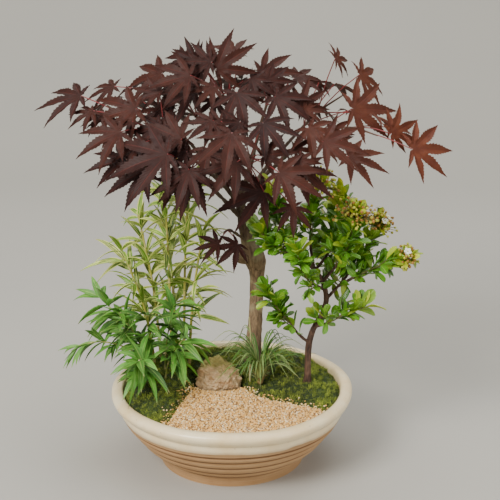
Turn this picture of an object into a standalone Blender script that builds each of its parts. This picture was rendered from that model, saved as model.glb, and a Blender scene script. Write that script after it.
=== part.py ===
"""A landscape bonsai planting in one round stoneware bowl.

A red-leaved Japanese maple, a clump of striped dwarf bamboo, a small
firethorn in bud and a tuft of mondo grass grow in potting soil, with moss on
the ground, a stone, and a stream of coarse sand that runs to the front rim.
The layout is written in millimetres from the bowl's own axis, with +X to the
right, +Y to the back and +Z up; every mesh is built in metres.
"""
import math
import random

import bmesh
import bpy
from mathutils import Matrix, Vector

MM = 0.001
GAP = 0.3                       # clearance between pieces that touch

# The bowl stands so that the whole planting is centred over the origin.
BOWL_AXIS = (-12.7, -26.4)

# Bowl
RIM_R = 120.0
BOWL_H = 76.0
FOOT_R = 72.0
FOOT_RING = 11.0
FOOT_RECESS = 5.0
FLOOR_Z = 13.0
DRAIN_R = 10.0
BOWL_SEGMENTS = 36
# Fillings, bottom to top
GRIT_TOP = 25.0
SOIL_TOP = 66.0
NET_PITCH = 5.5
NET_CELLS = 5
NET_THICK = 1.0
WIRE_R = 0.6
SOCKET_DEPTH = 16.0             # how far stems are set into the soil
SOCKET_TOP = 110.0              # the sockets' cutters rise clear of the moss
MOSS_TOP = 84.0                 # stems stand upright up to here

# Crown centre of the maple: its blades tilt to the front or back of this
# upright line, and by a share of that to the sides.
CROWN = (10.0, 84.0)
SIDE_SHARE = 0.3
GOLDEN = math.radians(137.5)


def clear_scene():
    for thing in list(bpy.data.objects):
        bpy.data.objects.remove(thing, do_unlink=True)


def material(name, colour, roughness, metallic=0.0):
    made = bpy.data.materials.new(name)
    made.use_nodes = True
    shader = made.node_tree.nodes["Principled BSDF"]
    shader.inputs["Base Color"].default_value = (*colour, 1.0)
    shader.inputs["Roughness"].default_value = roughness
    shader.inputs["Metallic"].default_value = metallic
    return made


def new_object(name, mesh_maker, finish, smooth=True):
    """Make one object from a bmesh that is built in millimetres."""
    work = bmesh.new()
    mesh_maker(work)
    bmesh.ops.scale(work, vec=(MM, MM, MM), verts=work.verts)
    mesh = bpy.data.meshes.new(name)
    work.to_mesh(mesh)
    work.free()
    if smooth:
        mesh.shade_smooth()
        mesh.set_sharp_from_angle(angle=math.radians(40))
    if finish:
        mesh.materials.append(finish)
    made = bpy.data.objects.new(name, mesh)
    bpy.context.collection.objects.link(made)
    made.parent = bpy.data.objects["bowl_axis"]
    return made


def cutter(name, mesh_maker):
    tool = new_object(name, mesh_maker, None, smooth=False)
    tool.hide_render = True
    tool.display_type = "WIRE"
    return tool


def boolean(target, tool, operation, self_overlaps=False):
    cut = target.modifiers.new(operation.lower(), "BOOLEAN")
    cut.operation = operation
    cut.solver = "EXACT"
    cut.use_self = self_overlaps
    cut.object = tool


def grown(name, core_maker, growth_maker, finish):
    """One closed body: a core, and all that grows out of it, fused."""
    made = new_object(name, core_maker, finish)
    boolean(made, cutter(name + "_growth", growth_maker), "UNION", self_overlaps=True)
    return made


# ---------------------------------------------------------------- shapes
def turn(work, profile, segments):
    """Turn a closed outline of (radius, height) points about Z."""
    rings = []
    for step in range(segments):
        angle = 2 * math.pi * step / segments
        rings.append([work.verts.new((r * math.cos(angle), r * math.sin(angle), z))
                      for r, z in profile])
    for step in range(segments):
        here, there = rings[step], rings[(step + 1) % segments]
        for i in range(len(profile)):
            j = (i + 1) % len(profile)
            work.faces.new((here[i], here[j], there[j], there[i]))
    bmesh.ops.recalc_face_normals(work, faces=work.faces)


def turn_capped(work, profile, segments):
    """Turn an open outline whose first and last points lie on the axis."""
    first = work.verts.new((0, 0, profile[0][1]))
    last = work.verts.new((0, 0, profile[-1][1]))
    rings = []
    for r, z in profile[1:-1]:
        rings.append([work.verts.new((r * math.cos(a), r * math.sin(a), z)) for a in
                      (2 * math.pi * k / segments for k in range(segments))])
    for k in range(segments):
        n = (k + 1) % segments
        work.faces.new((first, rings[0][n], rings[0][k]))
        work.faces.new((last, rings[-1][k], rings[-1][n]))
        for lower, upper in zip(rings, rings[1:]):
            work.faces.new((lower[k], lower[n], upper[n], upper[k]))
    bmesh.ops.recalc_face_normals(work, faces=work.faces)


def smooth_route(points, per_span):
    """Points on a Catmull-Rom curve through the given ones."""
    pts = [Vector(p) for p in points]
    ends = [pts[0] * 2 - pts[1], *pts, pts[-1] * 2 - pts[-2]]
    route = []
    for a, b, c, d in zip(ends, ends[1:], ends[2:], ends[3:]):
        for k in range(per_span):
            t = k / per_span
            route.append(0.5 * (2 * b + (c - a) * t + (2 * a - 5 * b + 4 * c - d) * t * t
                                + (3 * b - a - 3 * c + d) * t ** 3))
    return route + [pts[-1]]


def tube(work, route, radii, sides, upright_ends=False):
    """A closed tube along a route, with one radius for each point."""
    tangents = [(b - a).normalized() for a, b in zip(route, route[1:])]
    tangents = [tangents[0]] + [(a + b).normalized() for a, b in
                                zip(tangents, tangents[1:])] + [tangents[-1]]
    if upright_ends:
        tangents[0] = Vector((0, 0, 1))
    side = tangents[0].orthogonal().normalized()
    rings = []
    for point, along, radius in zip(route, tangents, radii):
        side = (side - along * side.dot(along)).normalized()
        up = along.cross(side)
        rings.append([work.verts.new(point + radius * (side * math.cos(a) + up * math.sin(a)))
                      for a in (2 * math.pi * k / sides for k in range(sides))])
    for low, high in zip(rings, rings[1:]):
        for k in range(sides):
            n = (k + 1) % sides
            work.faces.new((low[k], low[n], high[n], high[k]))
    work.faces.new(list(reversed(rings[0])))
    work.faces.new(rings[-1])


def pillow(work, outline, top, bottom):
    """A thin closed blade: an outline with one raised point on each side."""
    rim = [work.verts.new(p) for p in outline]
    high, low = work.verts.new(top), work.verts.new(bottom)
    for k, here in enumerate(rim):
        there = rim[(k + 1) % len(rim)]
        work.faces.new((here, there, high))
        work.faces.new((there, here, low))


def lerp_radii(route, start, end):
    last = len(route) - 1
    return [start + (end - start) * k / last for k in range(last + 1)]


# ---------------------------------------------------------------- clearance
SAME_PLANT = 0.5                # leaves of one shoot may sit closer together
taken = []                      # (start, end, radius, owner) of every stem and leaf


def gap_between(p1, q1, p2, q2):
    """Shortest distance between two straight segments."""
    d1, d2, r = q1 - p1, q2 - p2, p1 - p2
    a, e, f = d1.dot(d1), d2.dot(d2), d2.dot(r)
    c, b = d1.dot(r), d1.dot(d2)
    slope = a * e - b * b
    s = min(1.0, max(0.0, (b * f - c * e) / slope)) if slope > 1e-9 else 0.0
    t = (b * s + f) / e
    if t < 0.0 or t > 1.0:
        t = min(1.0, max(0.0, t))
        s = min(1.0, max(0.0, (b * t - c) / a))
    return ((p1 + d1 * s) - (p2 + d2 * t)).length


def is_free(start, end, radius, owner):
    """True where a leaf keeps clear of all that is placed already."""
    near = start.lerp(end, 0.3)
    for a, b, r, who in taken:
        if who == owner:
            if r < 1.5:
                continue
            if gap_between(near, end, a.lerp(b, 0.3), b) < SAME_PLANT * (radius + r):
                return False
        elif gap_between(start, end, a, b) < radius + r + 0.6:
            return False
    return True


def claim_route(route, radius, owner):
    for a, b in zip(route, route[1:]):
        taken.append((a, b, radius, owner))


# ---------------------------------------------------------------- bowl and fillings
# The bowl's inside wall as (radius, height): a round bottom that opens to the lip.
INSIDE = [(66.0, FLOOR_Z), (78.0, 20.0), (90.5, 32.0), (101.5, 48.0), (107.0, 66.0),
          (108.0, 72.0)]


def inner_radius(z):
    """The inside wall's radius at a height, straight between its points."""
    for (r0, z0), (r1, z1) in zip(INSIDE, INSIDE[1:]):
        if z <= z1:
            return r0 + (r1 - r0) * (z - z0) / (z1 - z0)
    return INSIDE[-1][0]


def bowl_outline():
    outside = [(117.8, 74.8), (RIM_R, 71.5), (118.8, 67.0),
               (113.4, 61.5), (112.2, 57.0), (106.0, 45.0), (99.6, 37.0),
               (92.4, 27.0), (84.0, 18.0), (75.0, 12.0),
               (72.8, 9.5), (FOOT_R, 0.0)]
    ring_in = FOOT_R - FOOT_RING
    under = [(ring_in, 0.0), (ring_in - 1.5, FOOT_RECESS),
             (DRAIN_R, FOOT_RECESS)]
    inside = [(DRAIN_R, FLOOR_Z), *INSIDE, (111.0, BOWL_H)]
    return outside + under + inside


def bowl(work):
    turn(work, bowl_outline(), BOWL_SEGMENTS)


def fill_outline(low, high):
    """The side of a filling, one gap in from the bowl's wall."""
    heights = [low, *(z for _, z in INSIDE if low < z < high), high]
    return [(inner_radius(z) - 2 * GAP, z) for z in heights]


def grit(work):
    """Coarse drainage grit, hollowed underneath where it covers the net."""
    low = FLOOR_Z + GAP
    net_room = NET_PITCH * NET_CELLS * 0.8
    wall = fill_outline(low, GRIT_TOP)
    turn_capped(work, [(0, low + 4.0), (net_room, low + 4.0), (net_room + 2.0, low),
                       *wall, (0, GRIT_TOP)], BOWL_SEGMENTS)


def soil(work):
    wall = fill_outline(GRIT_TOP + GAP, SOIL_TOP)
    turn_capped(work, [(0, GRIT_TOP + GAP), *wall, (0, SOIL_TOP)], BOWL_SEGMENTS)


def drain_net(work):
    """A square of plastic net: a grid with every other cell open."""
    size = NET_PITCH * NET_CELLS
    bmesh.ops.create_grid(work, x_segments=NET_CELLS, y_segments=NET_CELLS, size=size / 2)
    open_cells = []
    for face in work.faces:
        centre = face.calc_center_median()
        column = round((centre.x + size / 2) / NET_PITCH - 0.5)
        row = round((centre.y + size / 2) / NET_PITCH - 0.5)
        if column % 2 and row % 2:
            open_cells.append(face)
    bmesh.ops.delete(work, geom=open_cells, context="FACES")
    sheet = bmesh.ops.extrude_face_region(work, geom=work.faces[:])
    raised = [v for v in sheet["geom"] if isinstance(v, bmesh.types.BMVert)]
    bmesh.ops.translate(work, verts=raised, vec=(0, 0, NET_THICK))
    bmesh.ops.translate(work, verts=work.verts, vec=(0, 0, FLOOR_Z + GAP))
    bmesh.ops.recalc_face_normals(work, faces=work.faces)


def net_clip(work):
    """A bent wire that holds the net: over it, down the hole and outwards."""
    leg = NET_PITCH
    over = FLOOR_Z + GAP + NET_THICK + GAP + WIRE_R
    under = FOOT_RECESS - GAP - WIRE_R
    half = [(0, over), (leg - 1.5, over), (leg, over - 1.5), (leg, under + 1.5),
            (leg + 1.5, under), (leg + 13.0, under)]
    route = [Vector((-x, NET_PITCH, z)) for x, z in reversed(half[1:])]
    route += [Vector((x, NET_PITCH, z)) for x, z in half]
    tube(work, route, [WIRE_R] * len(route), 6)


# ---------------------------------------------------------------- ground
STONE_C = (-13.0, 7.0)
STONE_R = (24.0, 15.0)
GROUND_R = 106.2                # ground pieces stop just short of the bowl's wall
BED_Z = SOIL_TOP + GAP


def arc(centre, radii, start, end, count):
    """Points on an ellipse between two headings, in degrees."""
    return [(centre[0] + radii[0] * math.cos(math.radians(start + (end - start) * k / count)),
             centre[1] + radii[1] * math.sin(math.radians(start + (end - start) * k / count)))
            for k in range(count + 1)]


def ground_outlines():
    """Plan outlines of the sand stream and of the two moss beds."""
    rim = (GROUND_R, GROUND_R)
    near_stone = (STONE_R[0] + 1.2, STONE_R[1] + 1.2)
    origin = (0.0, 0.0)
    sand = (arc(origin, rim, 234.5, 329.5, 12)
            + [(74, -42), (52, -35), (32, -27), (20, -14)]
            + arc(STONE_C, near_stone, 340, 196, 8)
            + [(-44, -18), (-50, -36), (-54, -54), (-58, -72)])
    left = (arc(origin, rim, 98.0, 233.5, 15)
            + [(-59.2, -72), (-55.2, -54), (-51.2, -36), (-45.4, -17)]
            + arc(STONE_C, near_stone, 192, 104, 6)
            + [(-16.5, 40), (-15.5, 70)])
    right = (arc(origin, rim, 330.5, 457.0, 14)
             + [(-14.0, 70), (-15.0, 40)]
             + arc(STONE_C, near_stone, 98, -16, 8)
             + [(21.4, -12.6), (33, -25.4), (53, -33.4), (75, -40.4)])
    return sand, left, right


def bed(work, outline, centre, height_at, edge_z):
    """A ground piece: a flat bottom, a steep edge and a shaped top."""
    rings = []
    for share in (1.0, 0.96, 0.8, 0.55, 0.27):
        ring = []
        for x, y in outline:
            px = centre[0] + (x - centre[0]) * share
            py = centre[1] + (y - centre[1]) * share
            z = edge_z if share == 1.0 else height_at(px, py, 1.0 - share)
            ring.append(work.verts.new((px, py, z)))
        rings.append(ring)
    bottom = [work.verts.new((x, y, BED_Z)) for x, y in outline]
    middle = work.verts.new((*centre, height_at(*centre, 1.0)))
    foot = work.verts.new((*centre, BED_Z))
    count = len(outline)
    for k in range(count):
        n = (k + 1) % count
        work.faces.new((foot, bottom[n], bottom[k]))
        work.faces.new((bottom[k], bottom[n], rings[0][n], rings[0][k]))
        for low, high in zip(rings, rings[1:]):
            work.faces.new((low[k], low[n], high[n], high[k]))
        work.faces.new((rings[-1][k], rings[-1][n], middle))


def mound(x, y, cx, cy, rx, ry, height):
    """Height of one soft hill over the ground at a point."""
    far = ((x - cx) / rx) ** 2 + ((y - cy) / ry) ** 2
    return height * math.exp(-1.2 * far)


def sand_height(x, y, inward):
    return 70.6 + 1.6 * min(1.0, inward * 4) + mound(x, y, 0, -30, 40, 30, 2.5)


def left_moss_height(x, y, inward):
    swell = (mound(x, y, -78, -8, 34, 44, 11) + mound(x, y, -60, 58, 46, 34, 12)
             + mound(x, y, -62, -52, 22, 24, 5))
    ripple = 1.2 * math.sin(0.17 * x + 1.0) * math.cos(0.19 * y)
    return 70.5 + (swell + ripple + 2.5) * min(1.0, inward * 3.5)


def right_moss_height(x, y, inward):
    swell = (mound(x, y, 70, 0, 34, 34, 10) + mound(x, y, 24, 52, 44, 34, 10)
             + mound(x, y, 66, 58, 30, 34, 8))
    ripple = 1.2 * math.sin(0.18 * x) * math.cos(0.16 * y + 1.0)
    return 70.5 + (swell + ripple + 2.5) * min(1.0, inward * 3.5)


def stone(work):
    """A rough knob of stone with a cut-flat bottom, set at the stream's head."""
    bmesh.ops.create_icosphere(work, subdivisions=3, radius=1.0)
    rand = random.Random(5)
    facets = [(Vector((rand.uniform(-1, 1), rand.uniform(-1, 1), rand.uniform(-0.3, 1)))
               .normalized(), rand.uniform(0.72, 0.95)) for _ in range(16)]
    for vert in work.verts:
        way = vert.co.normalized()
        reach = min([1.0] + [d / way.dot(n) for n, d in facets if way.dot(n) > 0.2])
        lump = 1.0 + 0.035 * math.sin(9 * way.x + 2) * math.sin(8 * way.z + 5 * way.y)
        vert.co = Vector((way.x * STONE_R[0], way.y * STONE_R[1], way.z * 21.0)) * reach * lump
        vert.co += Vector((*STONE_C, 80.5))
        vert.co.z = max(vert.co.z, BED_Z)
    bottom = [v for v in work.verts if v.co.z < BED_Z + 0.01]
    bmesh.ops.dissolve_faces(work, faces=[f for f in work.faces
                                          if all(v in bottom for v in f.verts)])


# ---------------------------------------------------------------- maple
# Trunk: x, y, z, radius; set in the soil, swollen at its old graft.
TRUNK = [(20, 47, 52, 7.5), (20, 47, 74, 9.6), (21, 47, 90, 8.6), (23, 47, 120, 7.4),
         (24.5, 47, 150, 7.0), (25, 47, 176, 7.6), (24, 46.5, 187, 10.2), (22, 46, 196, 10.4),
         (17, 46, 207, 7.6), (13, 46, 222, 6.0), (10, 46.5, 240, 5.4), (7, 47, 256, 4.6)]
# Boughs that leave the trunk; each ends where a leafy spray carries on.
BOUGHS = {
    "left_low": ([(8, 46, 248), (-8, 36, 272), (-34, 20, 300)], 3.0, 1.7),
    "left_top": ([(7, 47, 252), (-6, 52, 284), (-24, 56, 322)], 2.8, 1.7),
    "left_front": ([(9, 45, 236), (-8, 20, 262), (-28, -8, 292)], 2.6, 1.6),
    "top": ([(7, 48, 253), (4, 54, 290), (-2, 52, 334)], 2.8, 1.7),
    "top_right": ([(7, 47, 253), (18, 44, 288), (28, 40, 330)], 2.8, 1.7),
    "right": ([(8, 47, 250), (30, 40, 278), (58, 28, 308)], 3.0, 1.7),
    "right_back": ([(9, 48, 246), (30, 66, 276), (58, 86, 304)], 2.6, 1.6),
    "back": ([(8, 49, 248), (6, 76, 282), (2, 100, 310)], 2.6, 1.6),
    "left_back": ([(8, 49, 246), (-18, 70, 278), (-46, 86, 306)], 2.6, 1.6),
    "front": ([(9, 44, 240), (14, 20, 268), (16, -6, 296)], 2.6, 1.6),
    "low": ([(16, 44, 210), (8, 34, 220), (0, 26, 228)], 1.8, 1.2),
}
# Sprays: the stem's points beyond the bough, and its leaves as
# x, y, z of the blade's base, heading in degrees, tilt in degrees, lobe length.
SPRAYS = {
    "left_low": ([(-62, 10, 324), (-92, 4, 344), (-116, 4, 358)], [
        (-141, 8, 366, 180, 28, 48), (-100, -42, 343, 205, 40, 46),
        (-88, -12, 358, 188, 44, 52), (-62, 36, 346, 160, 20, 42),
        (-56, -16, 342, 225, 36, 42)]),
    "left_top": ([(-46, 56, 346), (-70, 50, 360), (-88, 46, 364)], [
        (-113, 42, 368, 182, 30, 34), (-68, 56, 378, 172, 42, 48),
        (-44, 62, 393, 195, 50, 30), (-86, 80, 366, 150, 20, 40),
        (-36, 24, 368, 215, 40, 44)]),
    "left_front": ([(-46, -30, 312), (-62, -46, 322)], [
        (-56, -72, 330, 200, 46, 60), (-96, -44, 318, 190, 36, 40),
        (-34, -70, 312, 258, 56, 44), (-20, -50, 330, 290, 44, 44),
        (-76, -60, 312, 212, 52, 44)]),
    "top": ([(-8, 46, 360), (-14, 34, 376)], [
        (-13, 18, 390, 70, 80, 44), (-38, 4, 386, 195, 50, 44),
        (2, 64, 396, 100, 30, 34), (-30, 72, 384, 140, 20, 36),
        (6, -8, 372, 280, 44, 44)]),
    "top_right": ([(34, 34, 352), (40, 30, 368)], [
        (29, 38, 382, 8, 55, 42), (64, 0, 358, 70, 72, 34),
        (42, -6, 368, 320, 44, 42), (62, 54, 374, 20, 25, 36),
        (40, 78, 372, 85, 20, 36)]),
    "right": ([(84, 18, 328), (112, 8, 336), (138, 0, 330)], [
        (170, -12, 320, 12, 58, 48), (115, 8, 354, 8, 62, 50),
        (152, 34, 330, 20, 45, 32), (109, -34, 318, 340, 40, 40),
        (84, -62, 339, 350, 44, 44), (72, -27, 343, 308, 40, 42)]),
    "right_back": ([(86, 92, 332), (110, 80, 352)], [
        (125, 60, 376, 6, 55, 42), (140, 92, 330, 10, 25, 40),
        (104, 116, 356, 62, 25, 42), (74, 116, 338, 85, 30, 42)]),
    "back": ([(0, 116, 330), (-2, 128, 346)], [
        (-4, 140, 356, 95, 30, 42), (32, 124, 352, 55, 30, 42),
        (-36, 122, 352, 135, 30, 42), (4, 96, 372, 80, 15, 36)]),
    "left_back": ([(-74, 92, 326), (-94, 94, 338)], [
        (-120, 96, 344, 170, 25, 42), (-94, 122, 338, 130, 30, 40),
        (-64, 104, 360, 150, 20, 40), (-58, 126, 322, 110, 35, 40)]),
    "front": ([(18, -30, 316), (16, -48, 326)], [
        (2, -78, 350, 262, 46, 46), (44, -86, 317, 322, 48, 46),
        (6, -70, 322, 245, 52, 42), (30, -46, 352, 300, 44, 42),
        (62, -62, 314, 310, 50, 40), (30, -32, 284, 212, 52, 50)]),
    "low": ([(-4, 22, 230), (-8, 18, 228)], [
        (-12, 4, 222, 195, 50, 27), (6, 2, 222, 245, 62, 30)]),
}
LOBES = [(-114, 0.40), (-74, 0.70), (-37, 0.92), (0, 1.0), (37, 0.92), (74, 0.70), (114, 0.40)]
LOBE_HALF_ANGLE = 13.0
LEAF_THICK = 0.9


def blade_axes(x, y, heading, tilt):
    """Heading, side and normal of a maple blade that leans off the crown."""
    away = Vector(((x - CROWN[0]) * SIDE_SHARE, y - CROWN[1], 0)).normalized()
    lean = math.radians(tilt)
    normal = Vector((0, 0, 1)) * math.cos(lean) + away * math.sin(lean)
    point = Vector((math.cos(math.radians(heading)), math.sin(math.radians(heading)), 0))
    point = (point - normal * point.dot(normal)).normalized()
    return point, normal.cross(point), normal


def maple_blade(work, leaf):
    """Seven narrow lobes about the petiole's end, drooping at their tips."""
    x, y, z, heading, tilt, size = leaf
    base = Vector((x, y, z))
    along, side, normal = blade_axes(x, y, heading, tilt)

    def at(angle, reach):
        turned = math.radians(angle)
        flat = along * math.cos(turned) + side * math.sin(turned)
        return base + flat * reach * size - normal * (0.16 * reach * reach * size)

    outline = []
    for k, (angle, length) in enumerate(LOBES):
        if k > 0:
            outline.append(at(angle - LOBE_HALF_ANGLE, length * 0.52))
        outline.append(at(angle, length))
        if k < len(LOBES) - 1:
            outline.append(at(angle + LOBE_HALF_ANGLE, length * 0.52))
        if k < len(LOBES) - 1:
            middle = (angle + LOBES[k + 1][0]) / 2
            outline.append(at(middle, 0.22))
    outline.append(at(180, 0.06))
    pillow(work, outline, base + normal * LEAF_THICK * 0.6, base - normal * LEAF_THICK * 0.6)


def petiole_route(stem, leaf):
    """A thin arched stalk from the nearest part of the stem to the blade."""
    base = Vector(leaf[:3])
    last = len(stem) - 1
    near = min(range(last + 1), key=lambda k: (stem[k] - base).length)
    root = stem[max(0, near - 2)]
    if near <= 2:
        root = stem[1]
    normal = blade_axes(leaf[0], leaf[1], leaf[3], leaf[4])[2]
    along = blade_axes(leaf[0], leaf[1], leaf[3], leaf[4])[0]
    bend = root.lerp(base, 0.55) + Vector((0, 0, 2.5)) - normal * 1.5
    return [root, bend, base - along * 1.6]


def maple_wood(work):
    for points, thick, thin in BOUGHS.values():
        route = smooth_route(points, 3)
        tube(work, route, lerp_radii(route, thick, thin), 5)


def maple_trunk(work):
    route = [Vector(p[:3]) for p in TRUNK]
    tube(work, route, [p[3] for p in TRUNK], 10, upright_ends=True)


def spray_stem(name):
    """The stem's points, starting one gap beyond the end of its bough."""
    bough = BOUGHS[name][0]
    whole = smooth_route([*bough, *SPRAYS[name][0]], 2)
    stem = whole[2 * (len(bough) - 1):]
    start = (stem[1] - stem[0]).normalized()
    ahead = (smooth_route(bough, 3)[-1] - smooth_route(bough, 3)[-2]).normalized()
    stem[0] = stem[0] + (start + ahead).normalized() * (GAP + 0.7)
    return stem


def make_maple(wood, stalk_red):
    grown("maple_trunk", maple_trunk, maple_wood, wood)
    for name, (_, leaves) in SPRAYS.items():
        stem = spray_stem(name)

        def core(work, stem=stem):
            tube(work, stem, lerp_radii(stem, 1.5, 0.8), 4)

        def growth(work, stem=stem, leaves=leaves):
            for leaf in leaves:
                tube(work, petiole_route(stem, leaf), [0.7, 0.6, 0.55], 3)
                maple_blade(work, leaf)

        grown("maple_spray_" + name, core, growth, stalk_red)


# ---------------------------------------------------------------- soft shoots
LEAF_RIDGE = 0.7                # a slender leaf's midrib above its edges
LEAF_HOLLOW = 0.1               # and its underside below them
NODE_OFFSET = 0.23              # a leaf springs from just beside the stem's middle
OVER_BOWL_R = 100.0             # inside this radius leaves may hang low over the moss


def slender_leaf(work, base, tip, width, normal, stations, arch):
    """A narrow closed blade from base to tip, arched along its length."""
    along = (tip - base).normalized()
    side = along.cross(normal).normalized()
    up = side.cross(along)
    length = (tip - base).length
    rings = []
    for share, wide in stations:
        lift = arch * 4 * share * (1 - share) * length
        centre = base.lerp(tip, share) + up * lift
        half = width / 2 * wide
        ring = [centre + side * half, centre + up * LEAF_RIDGE, centre - side * half,
                centre - up * LEAF_HOLLOW]
        rings.append([work.verts.new(p) for p in (ring[:3] if arch else ring)])
    start, end = work.verts.new(base), work.verts.new(tip)
    for k in range(len(rings[0])):
        n = (k + 1) % len(rings[0])
        work.faces.new((start, rings[0][n], rings[0][k]))
        for low, high in zip(rings, rings[1:]):
            work.faces.new((low[k], low[n], high[n], high[k]))
        work.faces.new((end, rings[-1][k], rings[-1][n]))


def leafy_shoot(owner, stem, plan, seed):
    """Leaves set spirally along a stem, each where there is room for it.

    plan: count, first share of the stem, leaf length, width to length,
    angle from the stem at its foot and at its tip, droop.
    """
    count, first, length, slim, wide_angle, tip_angle, droop = plan
    rand = random.Random(seed)
    leaves = []
    last = len(stem) - 1
    for k in range(count):
        share = first + (0.97 - first) * k / (count - 1)
        spot = share * last
        low = min(last - 1, int(spot))
        node = stem[low].lerp(stem[low + 1], spot - low)
        along = (stem[low + 1] - stem[low]).normalized()
        cross = along.orthogonal().normalized()
        for attempt in range(14):
            turn_by = GOLDEN * k + rand.uniform(-0.5, 0.5) + attempt * 0.8
            out = Matrix.Rotation(turn_by, 3, along) @ cross
            lean = math.radians(wide_angle + (tip_angle - wide_angle) * share
                                + rand.uniform(-10, 10))
            way = (along * math.cos(lean) + out * math.sin(lean)
                   - Vector((0, 0, droop))).normalized()
            size = length * rand.uniform(0.8, 1.12)
            root = node + out * NODE_OFFSET
            tip = root + way * size
            inside = math.hypot(tip.x, tip.y) < OVER_BOWL_R or tip.z > MOSS_TOP
            if inside and tip.z > 80 and is_free(root, tip, size * slim / 2, owner):
                leaves.append((root, tip, size * slim, (Vector((0, 0, 1.2)) - out).normalized()))
                taken.append((root, tip, size * slim / 2, owner))
                break
    return leaves


# Bamboo culms: base x, y; top x, y, z; leaf count. The striped clump, then
# the greener low shoots in front of it.
TALL_CULMS = [(-62, 38, -66, 40, 268, 10), (-50, 46, -42, 52, 284, 10), (-74, 46, -94, 54, 236, 9),
              (-44, 34, -28, 34, 228, 8), (-58, 56, -70, 76, 250, 9), (-80, 36, -110, 36, 206, 8)]
LOW_SHOOTS = [(-86, 14, -112, 8, 152, 8), (-79, 5, -84, -10, 156, 8), (-68, 18, -56, 0, 160, 8),
              (-88, 38, -134, 46, 150, 8), (-66, -4, -46, -28, 136, 7), (-80, -16, -88, -48, 122, 7)]
# A long thin shoot that arches out over the rim.
REACHING = [(-88, 26, 50), (-90, 26, 88), (-108, 18, 108), (-132, 8, 118), (-152, 2, 116)]
BAMBOO_STATIONS = ((0.33, 1.0), (0.7, 0.72))   # shares of length and of width
TALL_PLAN = (0.34, 46.0, 0.15, 42, 30, 0.30)
LOW_PLAN = (0.28, 36.0, 0.21, 62, 40, 0.12)


def culm_route(base_x, base_y, top_x, top_y, top_z):
    """A culm that stands upright in the soil and leans as it rises."""
    foot = SOIL_TOP - SOCKET_DEPTH
    lift = top_z - MOSS_TOP
    return smooth_route([(base_x, base_y, foot), (base_x, base_y, MOSS_TOP),
                         (base_x + (top_x - base_x) * 0.3, base_y + (top_y - base_y) * 0.3,
                          MOSS_TOP + lift * 0.5), (top_x, top_y, top_z)], 2)


def make_shoots(prefix, routes, plans, finish, thick, thin, seed):
    for number, (stem, plan) in enumerate(zip(routes, plans)):
        owner = f"{prefix}_{number + 1:02d}"
        leaves = leafy_shoot(owner, stem[2:], plan, seed + number)

        def core(work, stem=stem):
            tube(work, stem, lerp_radii(stem, thick, thin), 4, upright_ends=True)

        def growth(work, leaves=leaves):
            for root, tip, width, normal in leaves:
                slender_leaf(work, root, tip, width, normal, BAMBOO_STATIONS, 0.08)

        grown(owner, core, growth, finish)


def make_bamboo(striped, green):
    tall = [culm_route(*row[:5]) for row in TALL_CULMS]
    low = [culm_route(*row[:5]) for row in LOW_SHOOTS] + [smooth_route(REACHING, 2)]
    for number, stem in enumerate(tall):
        claim_route(stem, 1.3, f"bamboo_culm_{number + 1:02d}")
    for number, stem in enumerate(low):
        claim_route(stem, 1.1, f"bamboo_shoot_{number + 1:02d}")
    plans = [(row[5], *TALL_PLAN) for row in TALL_CULMS]
    make_shoots("bamboo_culm", tall, plans, striped, 1.2, 0.6, 14)
    plans = [(row[5], *LOW_PLAN) for row in LOW_SHOOTS]
    plans.append((5, 0.45, 28.0, 0.16, 50, 24, 0.15))
    make_shoots("bamboo_shoot", low, plans, green, 0.9, 0.5, 44)


# ---------------------------------------------------------------- firethorn
THORN_TRUNK = [(75, -9, 50, 2.8), (75, -9, 80, 4.2), (75, -9, 92, 3.4), (75, -10, 108, 3.1),
               (76, -9, 123, 3.2), (80, -8, 138, 2.8), (89, -9, 156, 2.6), (92, -9, 172, 2.6),
               (87, -9, 190, 2.3), (78, -8, 202, 2.1), (66, -7, 213, 1.8)]
# Side wood; each ends where a leafy shoot carries on.
THORN_WOOD = {
    "left_low": [(76, -9, 124), (66, -13, 134), (56, -15, 148)],
    "left_mid": [(68, -7, 211), (60, -12, 216), (52, -16, 220)],
    "left_top": [(66, -7, 212), (58, -2, 222), (52, 2, 232)],
    "top": [(80, -8, 200), (77, 0, 216), (76, 6, 228)],
    "right_low": [(80, -8, 140), (90, -13, 145), (98, -16, 150)],
    "right_mid": [(92, -9, 170), (104, -5, 182), (114, -3, 194)],
    "right_top": [(88, -9, 188), (98, -14, 202), (106, -18, 214)],
    "back": [(92, -8, 168), (92, 8, 182), (93, 20, 196)],
    "front": [(90, -10, 180), (82, -22, 188), (74, -32, 196)],
    "right_far": [(104, -5, 182), (116, -7, 190), (126, -9, 196)],
    "middle": [(80, -8, 198), (92, 2, 210), (100, 8, 222)],
}
# Leafy shoots beyond the wood, and their leaf counts.
THORN_SHOOTS = {
    "left_low": ([(44, -17, 164), (34, -20, 182)], 13),
    "left_mid": ([(38, -22, 230), (28, -26, 244)], 14),
    "left_top": ([(42, 6, 250), (38, 6, 272)], 15),
    "top": ([(78, 9, 252), (84, 8, 276)], 17),
    "right_low": ([(112, -21, 160), (128, -22, 166)], 10),
    "right_mid": ([(128, 2, 214), (140, 6, 238)], 16),
    "right_top": ([(112, -25, 236), (116, -28, 258)], 16),
    "back": ([(96, 32, 218), (100, 42, 244)], 17),
    "front": ([(67, -41, 212), (62, -46, 232)], 15),
    "right_far": ([(146, -11, 206), (164, -12, 212)], 13),
    "middle": ([(106, 14, 244), (106, 12, 266)], 15),
}
THORN_STATIONS = ((0.6, 1.0),)
THORN_PLAN = (0.02, 22.0, 0.48, 66, 26, 0.0)
# Flower-bud clusters: the shoot's tip that each one crowns, and their radius.
BUDS = 11
BUD_HEADS = {"top": 15.0, "right_top": 16.0, "right_mid": 15.0, "right_far": 11.0}


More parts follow.
